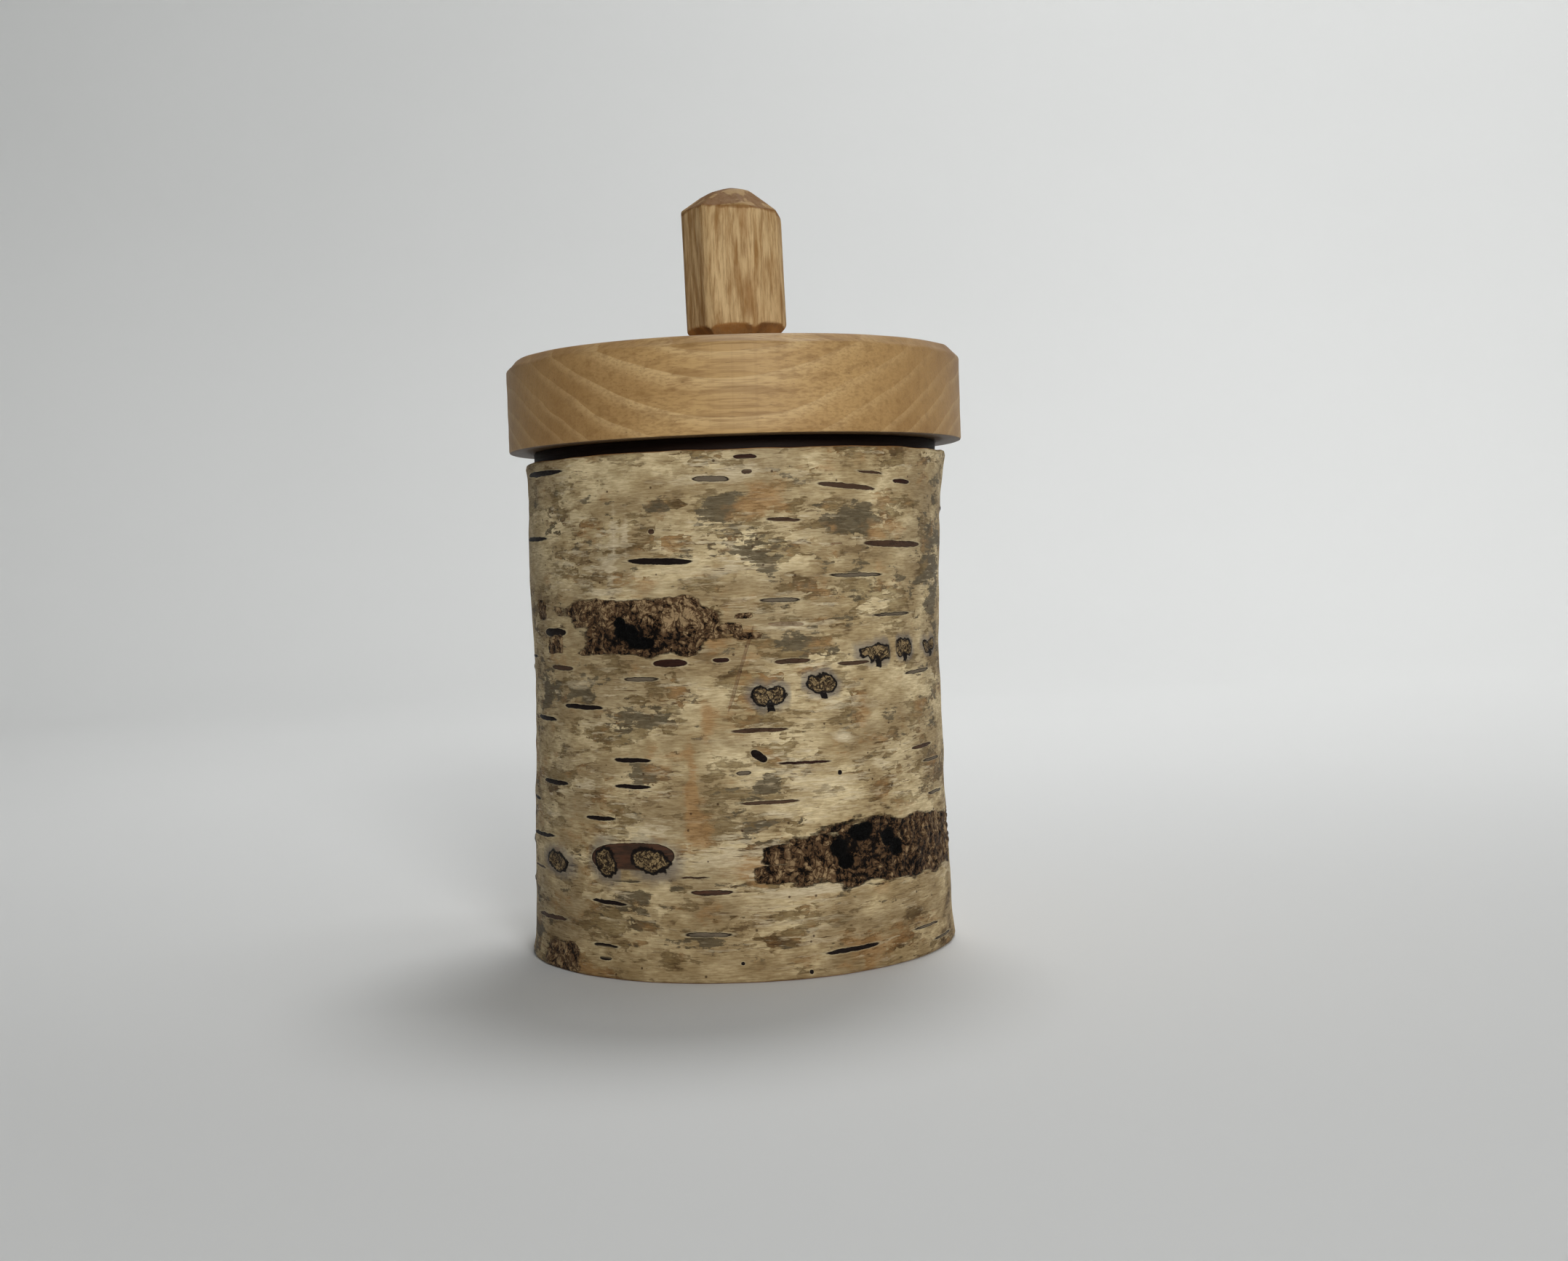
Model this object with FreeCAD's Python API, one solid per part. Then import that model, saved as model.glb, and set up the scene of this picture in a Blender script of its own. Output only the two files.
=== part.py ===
"""Birch-bark tea caddy: a two-layer bark tube with a wooden bottom, and a turned lid with a whittled knob.

Millimetres, +Z up. The origin lies on the resting plane, under the middle of the lid.
The front of the caddy faces -Y.
"""

import FreeCAD
import Part

import math
import os

V = FreeCAD.Vector
UP = V(0, 0, 1)
AXIS_POINT = V(0, 0, 0)

# Bark tube: a length of trunk bark, drawn in at the waist, that leans a little to the left
SLEEVE_HEIGHT = 115.7
SLEEVE_BASE_RADIUS = 50.8
SLEEVE_WAIST_RADIUS = 48.5
SLEEVE_MOUTH_RADIUS = 50.5
WAIST_HEIGHT = 60.0
BODY_LEAN = 1.75
SLEEVE_WALL = 2.4
SLEEVE_EDGE_ROUND = 0.9

# Inner bark layer, glued inside the sleeve; its rim stands above the sleeve and carries the lid
LINER_WALL = 2.0
LINER_RISE = 2.7
GLUE_GAP = 0.1

# Wooden bottom, pressed into the liner a little above the bark's lower edge
BOTTOM_THICKNESS = 12.0
BOTTOM_RECESS = 2.0
BOTTOM_FIT = 0.1

# Lid: a turned cap that overhangs the bark, and a plug under it that enters the mouth
LID_RADIUS = 54.0
LID_THICKNESS = 21.5
LID_CHAMFER = 2.1
LID_EDGE_BREAK = 0.4
PLUG_DEPTH = 12.0
PLUG_FIT = 0.3
PLUG_LEAD = 1.2
MOUTH_RELIEF = 1.0

# Knob: a stick pared flat with a knife, with a round tenon that goes through cap and plug
KNOB_OFFSET = 1.5
KNOB_STANDOFF = 4.1
KNOB_LENGTH = 36.5
KNOB_RADIUS = 12.1
KNOB_FACET_DEPTH = 0.6
KNOB_FACET_UNEVENNESS = 0.2
KNOB_FACETS = 7
KNOB_FACET_TURN = -7.0
KNOB_LEAN_DEGREES = -1.0
KNOB_FOOT_CUT = 3.4
KNOB_FOOT_HEIGHT = 3.5
DOME_HEIGHT = 7.0
DOME_SHOULDER_SLOPE = 39.0
DOME_TOP_SLOPE = 17.0
TENON_RADIUS = 8.0
TENON_FIT = 0.05

# Wedge that spreads the tenon's lower end
WEDGE_LENGTH = 15.0
WEDGE_THICK_END = 3.2
WEDGE_THIN_END = 1.0

# Places worked out from the sizes
LID_BOTTOM = SLEEVE_HEIGHT + LINER_RISE
LID_TOP = LID_BOTTOM + LID_THICKNESS
PLUG_BOTTOM = LID_BOTTOM - PLUG_DEPTH
KNOB_BASE = LID_TOP + KNOB_STANDOFF
LINER_OUTER_INSET = SLEEVE_WALL + GLUE_GAP
LINER_INNER_INSET = LINER_OUTER_INSET + LINER_WALL
MOUTH_RADIUS = SLEEVE_MOUTH_RADIUS - LINER_INNER_INSET
PLUG_RADIUS = MOUTH_RADIUS - PLUG_FIT
KNOB_FOOT = V(KNOB_OFFSET, 0, KNOB_BASE)

# Working lengths for cutting tools, larger than anything they cut
OVERRUN = 5.0 + BODY_LEAN
CROP_SIDE = 4.0 * (LID_RADIUS + SLEEVE_BASE_RADIUS)
KNIFE_SIDE = 4.0 * (KNOB_RADIUS + KNOB_LENGTH)


def trunk_radius(height):
    """Outer radius of the bark at a height, on the parabola through base, waist and mouth."""
    to_base = height
    to_waist = height - WAIST_HEIGHT
    to_mouth = height - SLEEVE_HEIGHT
    base_share = to_waist * to_mouth / (WAIST_HEIGHT * SLEEVE_HEIGHT)
    waist_share = to_base * to_mouth / (WAIST_HEIGHT * (WAIST_HEIGHT - SLEEVE_HEIGHT))
    mouth_share = to_base * to_waist / (SLEEVE_HEIGHT * (SLEEVE_HEIGHT - WAIST_HEIGHT))
    return (
        SLEEVE_BASE_RADIUS * base_share
        + SLEEVE_WAIST_RADIUS * waist_share
        + SLEEVE_MOUTH_RADIUS * mouth_share
    )


def turned(profile_edges):
    """Solid of revolution about Z from a closed profile in the XZ plane."""
    face = Part.Face(Part.Wire(profile_edges))
    return face.revolve(AXIS_POINT, UP, 360)


def turned_outline(points):
    """Solid of revolution from the corners (radius, height) of a straight-sided profile."""
    corners = [V(radius, 0, height) for radius, height in points]
    corners.append(corners[0])
    return turned(Part.makePolygon(corners).Edges)


def slab(low, high):
    """Wide box between two level planes."""
    corner = V(-CROP_SIDE / 2, -CROP_SIDE / 2, low)
    return Part.makeBox(CROP_SIDE, CROP_SIDE, high - low, corner)


def trunk(inset):
    """Leaning trunk shape that lies this far inside the bark's outer face, longer than the caddy."""
    low = -OVERRUN
    high = LID_BOTTOM + OVERRUN
    foot = V(trunk_radius(low) - inset, 0, low)
    waist = V(trunk_radius(WAIST_HEIGHT) - inset, 0, WAIST_HEIGHT)
    head = V(trunk_radius(high) - inset, 0, high)
    side = Part.Arc(foot, waist, head).toShape()
    top = Part.LineSegment(head, V(0, 0, high)).toShape()
    axis = Part.LineSegment(V(0, 0, high), V(0, 0, low)).toShape()
    bottom = Part.LineSegment(V(0, 0, low), foot).toShape()
    solid = turned([side, top, axis, bottom])
    lean = math.degrees(math.atan2(BODY_LEAN, SLEEVE_HEIGHT))
    solid.rotate(V(0, 0, SLEEVE_HEIGHT), V(0, 1, 0), lean)
    return solid


def outer_rims(tube, wall):
    """The two round edges where a tube's level ends meet its outer face."""
    rims = []
    for edge in tube.Edges:
        height = edge.BoundBox.Center.z
        if edge.Closed and edge.BoundBox.YMax > trunk_radius(height) - wall / 2:
            rims.append(edge)
    return rims


def tenon_hole(low, high):
    """Round hole for the knob's tenon through a stretch of the lid."""
    return Part.makeCylinder(TENON_RADIUS + TENON_FIT, high - low, V(KNOB_OFFSET, 0, low))


def bark_sleeve():
    """Outer bark with its white face out, both cut edges worn round on the outside."""
    wall = trunk(0).cut(trunk(SLEEVE_WALL))
    tube = wall.common(slab(0, SLEEVE_HEIGHT))
    rims = outer_rims(tube, SLEEVE_WALL)
    return tube.makeFillet(min(SLEEVE_EDGE_ROUND, SLEEVE_WALL / 2), rims)


def bark_liner():
    """Inner bark, pared straight at the mouth where the plug slides in."""
    wall = trunk(LINER_OUTER_INSET).cut(trunk(LINER_INNER_INSET))
    tube = wall.common(slab(0, LID_BOTTOM))
    pared_from = PLUG_BOTTOM - MOUTH_RELIEF
    mouth = Part.makeCylinder(MOUTH_RADIUS, LID_BOTTOM + OVERRUN - pared_from, V(0, 0, pared_from))
    return tube.cut(mouth)


def bottom_disc():
    """Disc that fills the liner's lower end."""
    inside = trunk(LINER_INNER_INSET + BOTTOM_FIT)
    return inside.common(slab(BOTTOM_RECESS, BOTTOM_RECESS + BOTTOM_THICKNESS))


def lid_cap():
    """Turned cap with a chamfer round its top and an eased lower edge."""
    disc = turned_outline(
        [
            (0, LID_BOTTOM),
            (LID_RADIUS - LID_EDGE_BREAK, LID_BOTTOM),
            (LID_RADIUS, LID_BOTTOM + LID_EDGE_BREAK),
            (LID_RADIUS, LID_TOP - LID_CHAMFER),
            (LID_RADIUS - LID_CHAMFER, LID_TOP),
            (0, LID_TOP),
        ]
    )
    return disc.cut(tenon_hole(LID_BOTTOM, LID_TOP))


def lid_plug():
    """Round plug under the cap, with a lead-in at its lower edge."""
    disc = turned_outline(
        [
            (0, PLUG_BOTTOM),
            (PLUG_RADIUS - PLUG_LEAD, PLUG_BOTTOM),
            (PLUG_RADIUS, PLUG_BOTTOM + PLUG_LEAD),
            (PLUG_RADIUS, LID_BOTTOM),
            (0, LID_BOTTOM),
        ]
    )
    return disc.cut(tenon_hole(PLUG_BOTTOM, LID_BOTTOM))


def pared(stick, turn_degrees, rise_degrees, point, distance):
    """The stick with one flat knife cut: what lies further than distance from point is gone.

    The cut faces outwards, turned from the front about Z and raised above level.
    """
    turn = math.radians(turn_degrees)
    rise = math.radians(rise_degrees)
    outwards = V(
        math.cos(rise) * math.sin(turn),
        -math.cos(rise) * math.cos(turn),
        math.sin(rise),
    )
    waste = Part.makeBox(KNIFE_SIDE, KNIFE_SIDE, KNIFE_SIDE, V(-KNIFE_SIDE / 2, -KNIFE_SIDE / 2, 0))
    waste.Placement = FreeCAD.Placement(
        point + outwards * distance,
        FreeCAD.Rotation(UP, outwards),
    ).multiply(waste.Placement)
    return stick.cut(waste)


def whittled_grip():
    """Pared stick that the hand holds: flat sides, a cut round its foot and a faceted dome."""
    stick = Part.makeCylinder(KNOB_RADIUS, KNOB_LENGTH, KNOB_FOOT)
    shoulder = KNOB_FOOT + UP * (KNOB_LENGTH - DOME_HEIGHT)
    crown = KNOB_FOOT + UP * KNOB_LENGTH
    foot_rise = math.degrees(math.atan2(KNOB_FOOT_CUT, KNOB_FOOT_HEIGHT))
    pitch = 360.0 / KNOB_FACETS
    for index in range(KNOB_FACETS):
        turn = KNOB_FACET_TURN + index * pitch
        uneven = KNOB_FACET_UNEVENNESS * math.sin(index * index)
        flat = KNOB_RADIUS - KNOB_FACET_DEPTH + uneven
        stick = pared(stick, turn, 0, KNOB_FOOT, flat)
        foot_reach = (flat - KNOB_FOOT_CUT) * math.cos(math.radians(foot_rise))
        stick = pared(stick, turn, -foot_rise, KNOB_FOOT, foot_reach)
        shoulder_reach = flat * math.sin(math.radians(DOME_SHOULDER_SLOPE))
        stick = pared(stick, turn, 90 - DOME_SHOULDER_SLOPE, shoulder, shoulder_reach)
        stick = pared(stick, turn + pitch / 2, 90 - DOME_TOP_SLOPE, crown, 0)
    stick.rotate(KNOB_FOOT, V(0, 1, 0), KNOB_LEAN_DEGREES)
    return stick


def tenon_wedge():
    """Thin tapered wedge across the tenon, flush with the underside of the plug."""
    profile = [
        V(-WEDGE_THICK_END / 2, 0, PLUG_BOTTOM),
        V(WEDGE_THICK_END / 2, 0, PLUG_BOTTOM),
        V(WEDGE_THIN_END / 2, 0, PLUG_BOTTOM + WEDGE_LENGTH),
        V(-WEDGE_THIN_END / 2, 0, PLUG_BOTTOM + WEDGE_LENGTH),
    ]
    profile.append(profile[0])
    blade = Part.Face(Part.makePolygon(profile)).extrude(V(0, 2 * TENON_RADIUS, 0))
    blade.translate(V(KNOB_OFFSET, -TENON_RADIUS, 0))
    return blade.common(Part.makeCylinder(TENON_RADIUS, WEDGE_LENGTH, V(KNOB_OFFSET, 0, PLUG_BOTTOM)))


def knob():
    """Grip and tenon in one piece, the tenon split for its wedge."""
    grip = whittled_grip()
    overlap = KNOB_LENGTH / 4
    tenon_length = KNOB_BASE + overlap - PLUG_BOTTOM
    tenon = Part.makeCylinder(TENON_RADIUS, tenon_length, V(KNOB_OFFSET, 0, PLUG_BOTTOM))
    return grip.fuse(tenon).removeSplitter().cut(tenon_wedge())


MAKERS = {
    "bark_sleeve": bark_sleeve,
    "bark_liner": bark_liner,
    "bottom_disc": bottom_disc,
    "lid_cap": lid_cap,
    "lid_plug": lid_plug,
    "knob": knob,
    "tenon_wedge": tenon_wedge,
}


def main():
    os.makedirs("parts", exist_ok=True)
    for name, maker in MAKERS.items():
        shape = maker()
        box = shape.optimalBoundingBox()
        solid = shape.Solids[0]
        solid.exportStep(os.path.join("parts", name + ".step"))
        print(
            f"{name}: {len(shape.Solids)} solid, valid {shape.isValid()}, "
            f"{shape.Volume / 1000:.1f} cm3, z {box.ZMin:.2f} to {box.ZMax:.2f}, "
            f"x {box.XMin:.2f} to {box.XMax:.2f}"
        )


main()
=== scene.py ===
# %% [markdown]
# # A birch-bark tea caddy
# The caddy is a tube of birch bark with a wooden bottom, closed by a thick turned lid with a whittled
# knob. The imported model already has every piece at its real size, so this lesson only gives the pieces
# their surfaces: the bark's pores and scars, the grain of the lid and the knife cuts on the knob.

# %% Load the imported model
import math
import random

import bmesh
import bpy
import numpy as np
from mathutils import Matrix, Vector, noise


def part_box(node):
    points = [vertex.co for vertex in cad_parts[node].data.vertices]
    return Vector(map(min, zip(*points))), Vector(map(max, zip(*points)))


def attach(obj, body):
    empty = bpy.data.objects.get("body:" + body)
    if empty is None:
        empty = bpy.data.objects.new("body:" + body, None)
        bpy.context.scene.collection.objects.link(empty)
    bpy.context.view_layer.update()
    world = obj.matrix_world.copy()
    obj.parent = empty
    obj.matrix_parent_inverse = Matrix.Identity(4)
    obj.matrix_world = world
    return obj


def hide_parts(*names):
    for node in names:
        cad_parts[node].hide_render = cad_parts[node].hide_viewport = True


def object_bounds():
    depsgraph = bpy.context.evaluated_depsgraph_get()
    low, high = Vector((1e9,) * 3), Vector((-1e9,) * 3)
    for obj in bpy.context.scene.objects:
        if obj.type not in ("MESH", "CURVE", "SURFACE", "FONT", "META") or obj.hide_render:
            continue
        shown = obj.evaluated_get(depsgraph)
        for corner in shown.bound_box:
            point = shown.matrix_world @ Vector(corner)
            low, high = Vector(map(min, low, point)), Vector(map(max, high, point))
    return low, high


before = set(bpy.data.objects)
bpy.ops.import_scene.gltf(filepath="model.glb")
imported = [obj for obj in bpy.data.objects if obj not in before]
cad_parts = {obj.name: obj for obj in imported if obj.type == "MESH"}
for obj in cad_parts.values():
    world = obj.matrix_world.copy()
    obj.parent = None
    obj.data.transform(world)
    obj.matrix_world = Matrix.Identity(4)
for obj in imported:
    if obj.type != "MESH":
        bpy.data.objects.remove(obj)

CAD_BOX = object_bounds()
MM = 0.001
for node_name in sorted(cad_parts):
    low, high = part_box(node_name)
    print(f"{node_name}: {(high - low) / MM} mm, from z {low.z / MM:.1f} mm")

# %% [markdown]
# ## The camera
# The photograph looks at the caddy from the front, about level with its middle. Moving a camera about by
# eye takes long, so its place and lens were worked out from the ellipses of the lid and of the tube's two
# ends. It is written as a place, three small turns and a focal length in pixels of the photograph.

# %% Set up the camera
PHOTO_WIDTH = 2156
FOCAL_PIXELS = 2661.3
CAMERA_PLACE = Vector((0.0, -466.8, 92.0)) * MM
CAMERA_YAW = math.radians(1.24)
CAMERA_PITCH = math.radians(-2.18)
CAMERA_ROLL = math.radians(-1.95)

camera_data = bpy.data.cameras.new("camera")
camera_data.sensor_width = 36.0
camera_data.lens = camera_data.sensor_width * FOCAL_PIXELS / PHOTO_WIDTH
camera_data.clip_start = 0.01
camera = bpy.data.objects.new("camera", camera_data)
camera.matrix_world = (
    Matrix.Translation(CAMERA_PLACE)
    @ Matrix.Rotation(-CAMERA_YAW, 4, "Z")
    @ Matrix.Rotation(math.pi / 2 + CAMERA_PITCH, 4, "X")
    @ Matrix.Rotation(CAMERA_ROLL, 4, "Z")
)
bpy.context.scene.collection.objects.link(camera)
bpy.context.scene.camera = camera
print(f"lens {camera_data.lens:.2f} mm")

# %% [markdown]
# ## Recipes for finishes
# Every finish here is a small network of shader nodes. Wiring nodes by hand takes many lines, so this
# helper adds one node per call and returns its output, ready to be plugged into the next call. Numbers
# that stay the same all over a surface go straight onto the shader's own sockets.


# %% A helper that wires shader nodes
class Finish:
    """One material; each call adds a node and returns the socket to use next."""

    def __init__(self, name, **shader_values):
        self.material = bpy.data.materials.new(name)
        self.material.use_nodes = True
        self.tree = self.material.node_tree
        self.tree.nodes.clear()
        self.shader = self.tree.nodes.new("ShaderNodeBsdfPrincipled")
        output = self.tree.nodes.new("ShaderNodeOutputMaterial")
        self.tree.links.new(self.shader.outputs[0], output.inputs["Surface"])
        for socket_name, value in shader_values.items():
            self.shader.inputs[socket_name.replace("_", " ")].default_value = value

    def plug(self, socket, value):
        """Join two sockets, or set one to a fixed value."""
        if isinstance(value, bpy.types.NodeSocket):
            self.tree.links.new(value, socket)
        else:
            socket.default_value = value

    def node(self, kind, inputs, out=0, **settings):
        """Add a node, set it up, plug its inputs and return one of its outputs."""
        made = self.tree.nodes.new("ShaderNode" + kind)
        for setting, value in settings.items():
            setattr(made, setting, value)
        for key, value in inputs.items():
            self.plug(made.inputs[key], value)
        return made.outputs[out]

    def place(self, scale=(1000.0, 1000.0, 1000.0), shift=(0.0, 0.0, 0.0)):
        """Object coordinates, in millimetres unless another scale is asked for."""
        at = self.node("TexCoord", {}, out="Object")
        return self.node("Mapping", {"Vector": at, "Scale": scale, "Location": shift})

    def noise(self, at, detail=3.0, rough=0.5, warp=0.0):
        """Soft random values from 0 to 1, in spots about as wide as one unit of the coordinates."""
        inputs = {"Vector": at, "Scale": 1.0, "Detail": detail, "Roughness": rough, "Distortion": warp}
        return self.node("TexNoise", inputs)

    def math(self, operation, first, second=0.0, third=0.0):
        """One sum with up to three values."""
        return self.node("Math", {0: first, 1: second, 2: third}, operation=operation)

    def ease(self, value, low, high, to_low=0.0, to_high=1.0):
        """A soft step from to_low to to_high as value goes from low to high."""
        inputs = {"Value": value, "From Min": low, "From Max": high, "To Min": to_low, "To Max": to_high}
        return self.node("MapRange", inputs, interpolation_type="SMOOTHSTEP")

    def mix(self, share, first, second, blend="MIX"):
        """Blend two colours, which are the Mix node's sockets 6 and 7; their blend is its output 2."""
        inputs = {0: share, 6: first, 7: second}
        return self.node("Mix", inputs, out=2, data_type="RGBA", blend_type=blend)

    def split(self, vector):
        """The three numbers of a vector, one socket each."""
        made = self.tree.nodes.new("ShaderNodeSeparateXYZ")
        self.plug(made.inputs[0], vector)
        return made.outputs[0], made.outputs[1], made.outputs[2]

    def attribute(self, name, out="Fac"):
        """A number that was kept on the vertices, or a vector if that output is asked for."""
        return self.node("Attribute", {}, out=out, attribute_name=name)

    def relief(self, height, distance):
        """Bump whose full height is this many metres."""
        return self.node("Bump", {"Height": height, "Distance": distance})


# %% [markdown]
# ## Colours as the eye sees them
# Shaders count light, and half the light looks much brighter than a middle grey. Colours are easier to
# choose as the eye sees them, from 0 to 255, so a small helper turns them into the shader's values.


# %% A helper for colours
def tone(red, green, blue):
    """A colour written as the eye sees it, 0 to 255, turned into the linear values that shaders use."""
    shares = [channel / 255 for channel in (red, green, blue)]
    return (*[s / 12.92 if s <= 0.04045 else ((s + 0.055) / 1.055) ** 2.4 for s in shares], 1.0)


print(f"middle grey, 128 to the eye, is {tone(128, 128, 128)[0]:.3f} to a shader")


# %% [markdown]
# ## The studio floor
# A pale floor that curves up into a wall on every side gives a plain background from any angle. Half of its
# cross-section is drawn, a straight floor, a quarter circle and a wall, and spun once round.

# %% Build the floor
FLOOR_RADIUS = 0.9
WALL_RADIUS = 1.5
WALL_HEIGHT = 1.6
BEND_POINTS = 10
FLOOR_STEPS = 72
FLOOR_DROP = 0.1 * MM


def studio_floor():
    """A floor that lies just under the caddy and bends up into a round wall; sizes in metres."""
    bm = bmesh.new()
    bend = WALL_RADIUS - FLOOR_RADIUS
    outline = [(0.0, 0.0)]
    for step in range(BEND_POINTS + 1):
        angle = math.pi / 2 * step / BEND_POINTS
        outline.append((FLOOR_RADIUS + bend * math.sin(angle), bend * (1 - math.cos(angle))))
    outline.append((WALL_RADIUS, WALL_HEIGHT))
    verts = [bm.verts.new((radius, 0.0, height - FLOOR_DROP)) for radius, height in outline]
    edges = [bm.edges.new(pair) for pair in zip(verts, verts[1:])]
    bmesh.ops.spin(
        bm, geom=verts + edges, axis=(0, 0, 1), cent=(0, 0, 0), angle=math.tau, steps=FLOOR_STEPS,
        use_merge=True,
    )
    bmesh.ops.remove_doubles(bm, verts=bm.verts, dist=1e-6)
    mesh = bpy.data.meshes.new("studio_floor")
    bm.to_mesh(mesh)
    bm.free()
    mesh.shade_smooth()
    floor = bpy.data.objects.new("studio_floor", mesh)
    bpy.context.scene.collection.objects.link(floor)
    return floor


floor = studio_floor()
paper = Finish("pale_paper", Roughness=0.9)
paper_mottle = paper.noise(paper.place(scale=(3.0, 3.0, 3.0)), detail=2.0)
paper_colour = paper.mix(paper_mottle, tone(226, 227, 226), tone(231, 232, 231))
paper.plug(paper.shader.inputs["Base Color"], paper_colour)
floor.data.materials.append(paper.material)
print(f"floor {2 * WALL_RADIUS:.1f} m across with a wall {WALL_HEIGHT:.1f} m high")

# %% [markdown]
# ## The lamps
# The photograph was lit softly from the camera's side, so one lamp stands in front, a little to the right.
# A second one above and behind draws the soft shadow in front of the tube, and a third lights the wall.
# Area lamps are used because their size softens a shadow, and the spread of the beam keeps the light of
# each one where it is wanted. The air adds a trace of cool light.


# %% Hang the lamps
def soft_lamp(name, place, target, size, power, spread):
    """A round lamp; spread is the angle of its beam in degrees."""
    data = bpy.data.lights.new(name, "AREA")
    data.shape = "DISK"
    data.size = size
    data.energy = power
    data.spread = math.radians(spread)
    lamp = bpy.data.objects.new(name, data)
    lamp.location = place
    lamp.rotation_euler = (Vector(target) - Vector(place)).to_track_quat("-Z", "Y").to_euler()
    lamp.visible_camera = False
    bpy.context.scene.collection.objects.link(lamp)


CADDY_MIDDLE = (CAD_BOX[0] + CAD_BOX[1]) / 2
BACKDROP_MIDDLE = (0.5, 1.5, 0.5)
AIR_TINT = (0.95, 0.97, 1.0, 1.0)
AIR_STRENGTH = 0.02
soft_lamp("front_lamp", (0.32, -1.26, 0.5), CADDY_MIDDLE, size=0.35, power=1.04, spread=60)
soft_lamp("top_lamp", (0.12, 0.42, 1.15), CADDY_MIDDLE, size=0.4, power=3.4, spread=150)
soft_lamp("backdrop_lamp", (0.6, 0.25, 1.5), BACKDROP_MIDDLE, size=0.7, power=9.5, spread=130)

world = bpy.data.worlds.new("studio_air")
world.use_nodes = True
world.node_tree.nodes["Background"].inputs["Color"].default_value = AIR_TINT
world.node_tree.nodes["Background"].inputs["Strength"].default_value = AIR_STRENGTH
bpy.context.scene.world = world
bpy.context.scene.view_settings.view_transform = "Standard"
print(f"{len(bpy.data.lights)} lamps round the caddy")

# %% [markdown]
# ## Turning a wall on a lathe
# Most pieces of the caddy are round. A lathe is easy to copy in Blender: draw half of the cross-section
# with a few points, divide its sides where more detail is wanted, and spin it once round the axis. The
# first and the last ring are merged by the spin itself, so the seam is closed.


# %% The lathe
def lathe(name, outline, cuts, steps, hollow=True):
    """Spin an outline of (radius, height) in mm round the z axis. A hollow outline closes on itself."""
    bm = bmesh.new()
    verts = [bm.verts.new((radius * MM, 0.0, height * MM)) for radius, height in outline]
    following = verts[1:] + verts[:1] if hollow else verts[1:]
    sides = [bm.edges.new(pair) for pair in zip(verts, following)]
    for side, cut_count in zip(sides, cuts):
        if cut_count:
            bmesh.ops.subdivide_edges(bm, edges=[side], cuts=cut_count)
    bmesh.ops.spin(
        bm, geom=bm.verts[:] + bm.edges[:], axis=(0, 0, 1), cent=(0, 0, 0), angle=math.tau, steps=steps,
        use_merge=True,
    )
    bmesh.ops.remove_doubles(bm, verts=bm.verts, dist=1e-7)
    bmesh.ops.recalc_face_normals(bm, faces=bm.faces)
    mesh = bpy.data.meshes.new(name)
    bm.to_mesh(mesh)
    bm.free()
    mesh.shade_smooth()
    piece = bpy.data.objects.new(name, mesh)
    bpy.context.scene.collection.objects.link(piece)
    print(f"{name}: {len(mesh.vertices)} vertices, {len(mesh.polygons)} faces")
    return piece


# %% [markdown]
# ## Working on many vertices at once
# The bark needs tens of thousands of vertices. Moving them one by one is slow in Python, so all of them are
# read into one numpy table, moved together and written back. A number can also be kept on every vertex, for
# a finish to read. Soft unevenness comes from a sum of sine waves, which is quick and the same on every run.


# %% Read, move and mark vertices
def points_of(piece):
    """All vertices of a piece in mm, one row each."""
    flat = np.empty(len(piece.data.vertices) * 3)
    piece.data.vertices.foreach_get("co", flat)
    return flat.reshape(-1, 3) / MM


def move_points(piece, points):
    """Put all vertices of a piece at these points in mm."""
    piece.data.vertices.foreach_set("co", (points * MM).ravel())
    piece.data.update()


def keep_attribute(piece, name, values):
    """Store one number or one vector for each vertex, for a finish to read."""
    kind, field = ("FLOAT", "value") if values.ndim == 1 else ("FLOAT_VECTOR", "vector")
    layer = piece.data.attributes.new(name, kind, "POINT")
    layer.data.foreach_set(field, np.ascontiguousarray(values, dtype=np.float32).ravel())


def waviness(points, grain, seed, waves=28):
    """Soft random height, about -1 to 1, at points in mm: a sum of sine waves about as long as the grain."""
    pick = np.random.default_rng(seed)
    directions = pick.normal(size=(waves, 3))
    directions /= np.linalg.norm(directions, axis=1, keepdims=True)
    lengths = pick.uniform(0.7, 2.4, waves)
    phases = pick.uniform(0.0, math.tau, waves)
    total = np.zeros(len(points))
    for direction, length, phase in zip(directions, lengths, phases):
        total += length * np.sin((points / grain) @ direction * math.tau / length + phase)
    return total / math.sqrt(2 * np.square(lengths).sum())


print("soft waves at three points:", waviness(np.eye(3), 1.0, 0).round(2))


# %% [markdown]
# ## The bark tube: the trunk it came from
# The sleeve was drawn off a young trunk in one piece, so it is not a true cylinder. It swells at both cut
# ends, is slimmest above its middle and leans a little. A cylinder with bumps painted on would give itself
# away at the outline. So the wall is spun with rows fine enough to carry the pores, and every vertex is
# then moved to the trunk's own radius and middle.

# %% Spin the sleeve
TUBE_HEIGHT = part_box("bark_sleeve")[1].z / MM
WALL = 2.4
CORNER = 0.9
CORNER_MIDDLE = 0.26
SPIN_RADIUS = 50.0
BARK_ROWS = 214
BARK_STEPS = 400

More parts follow.
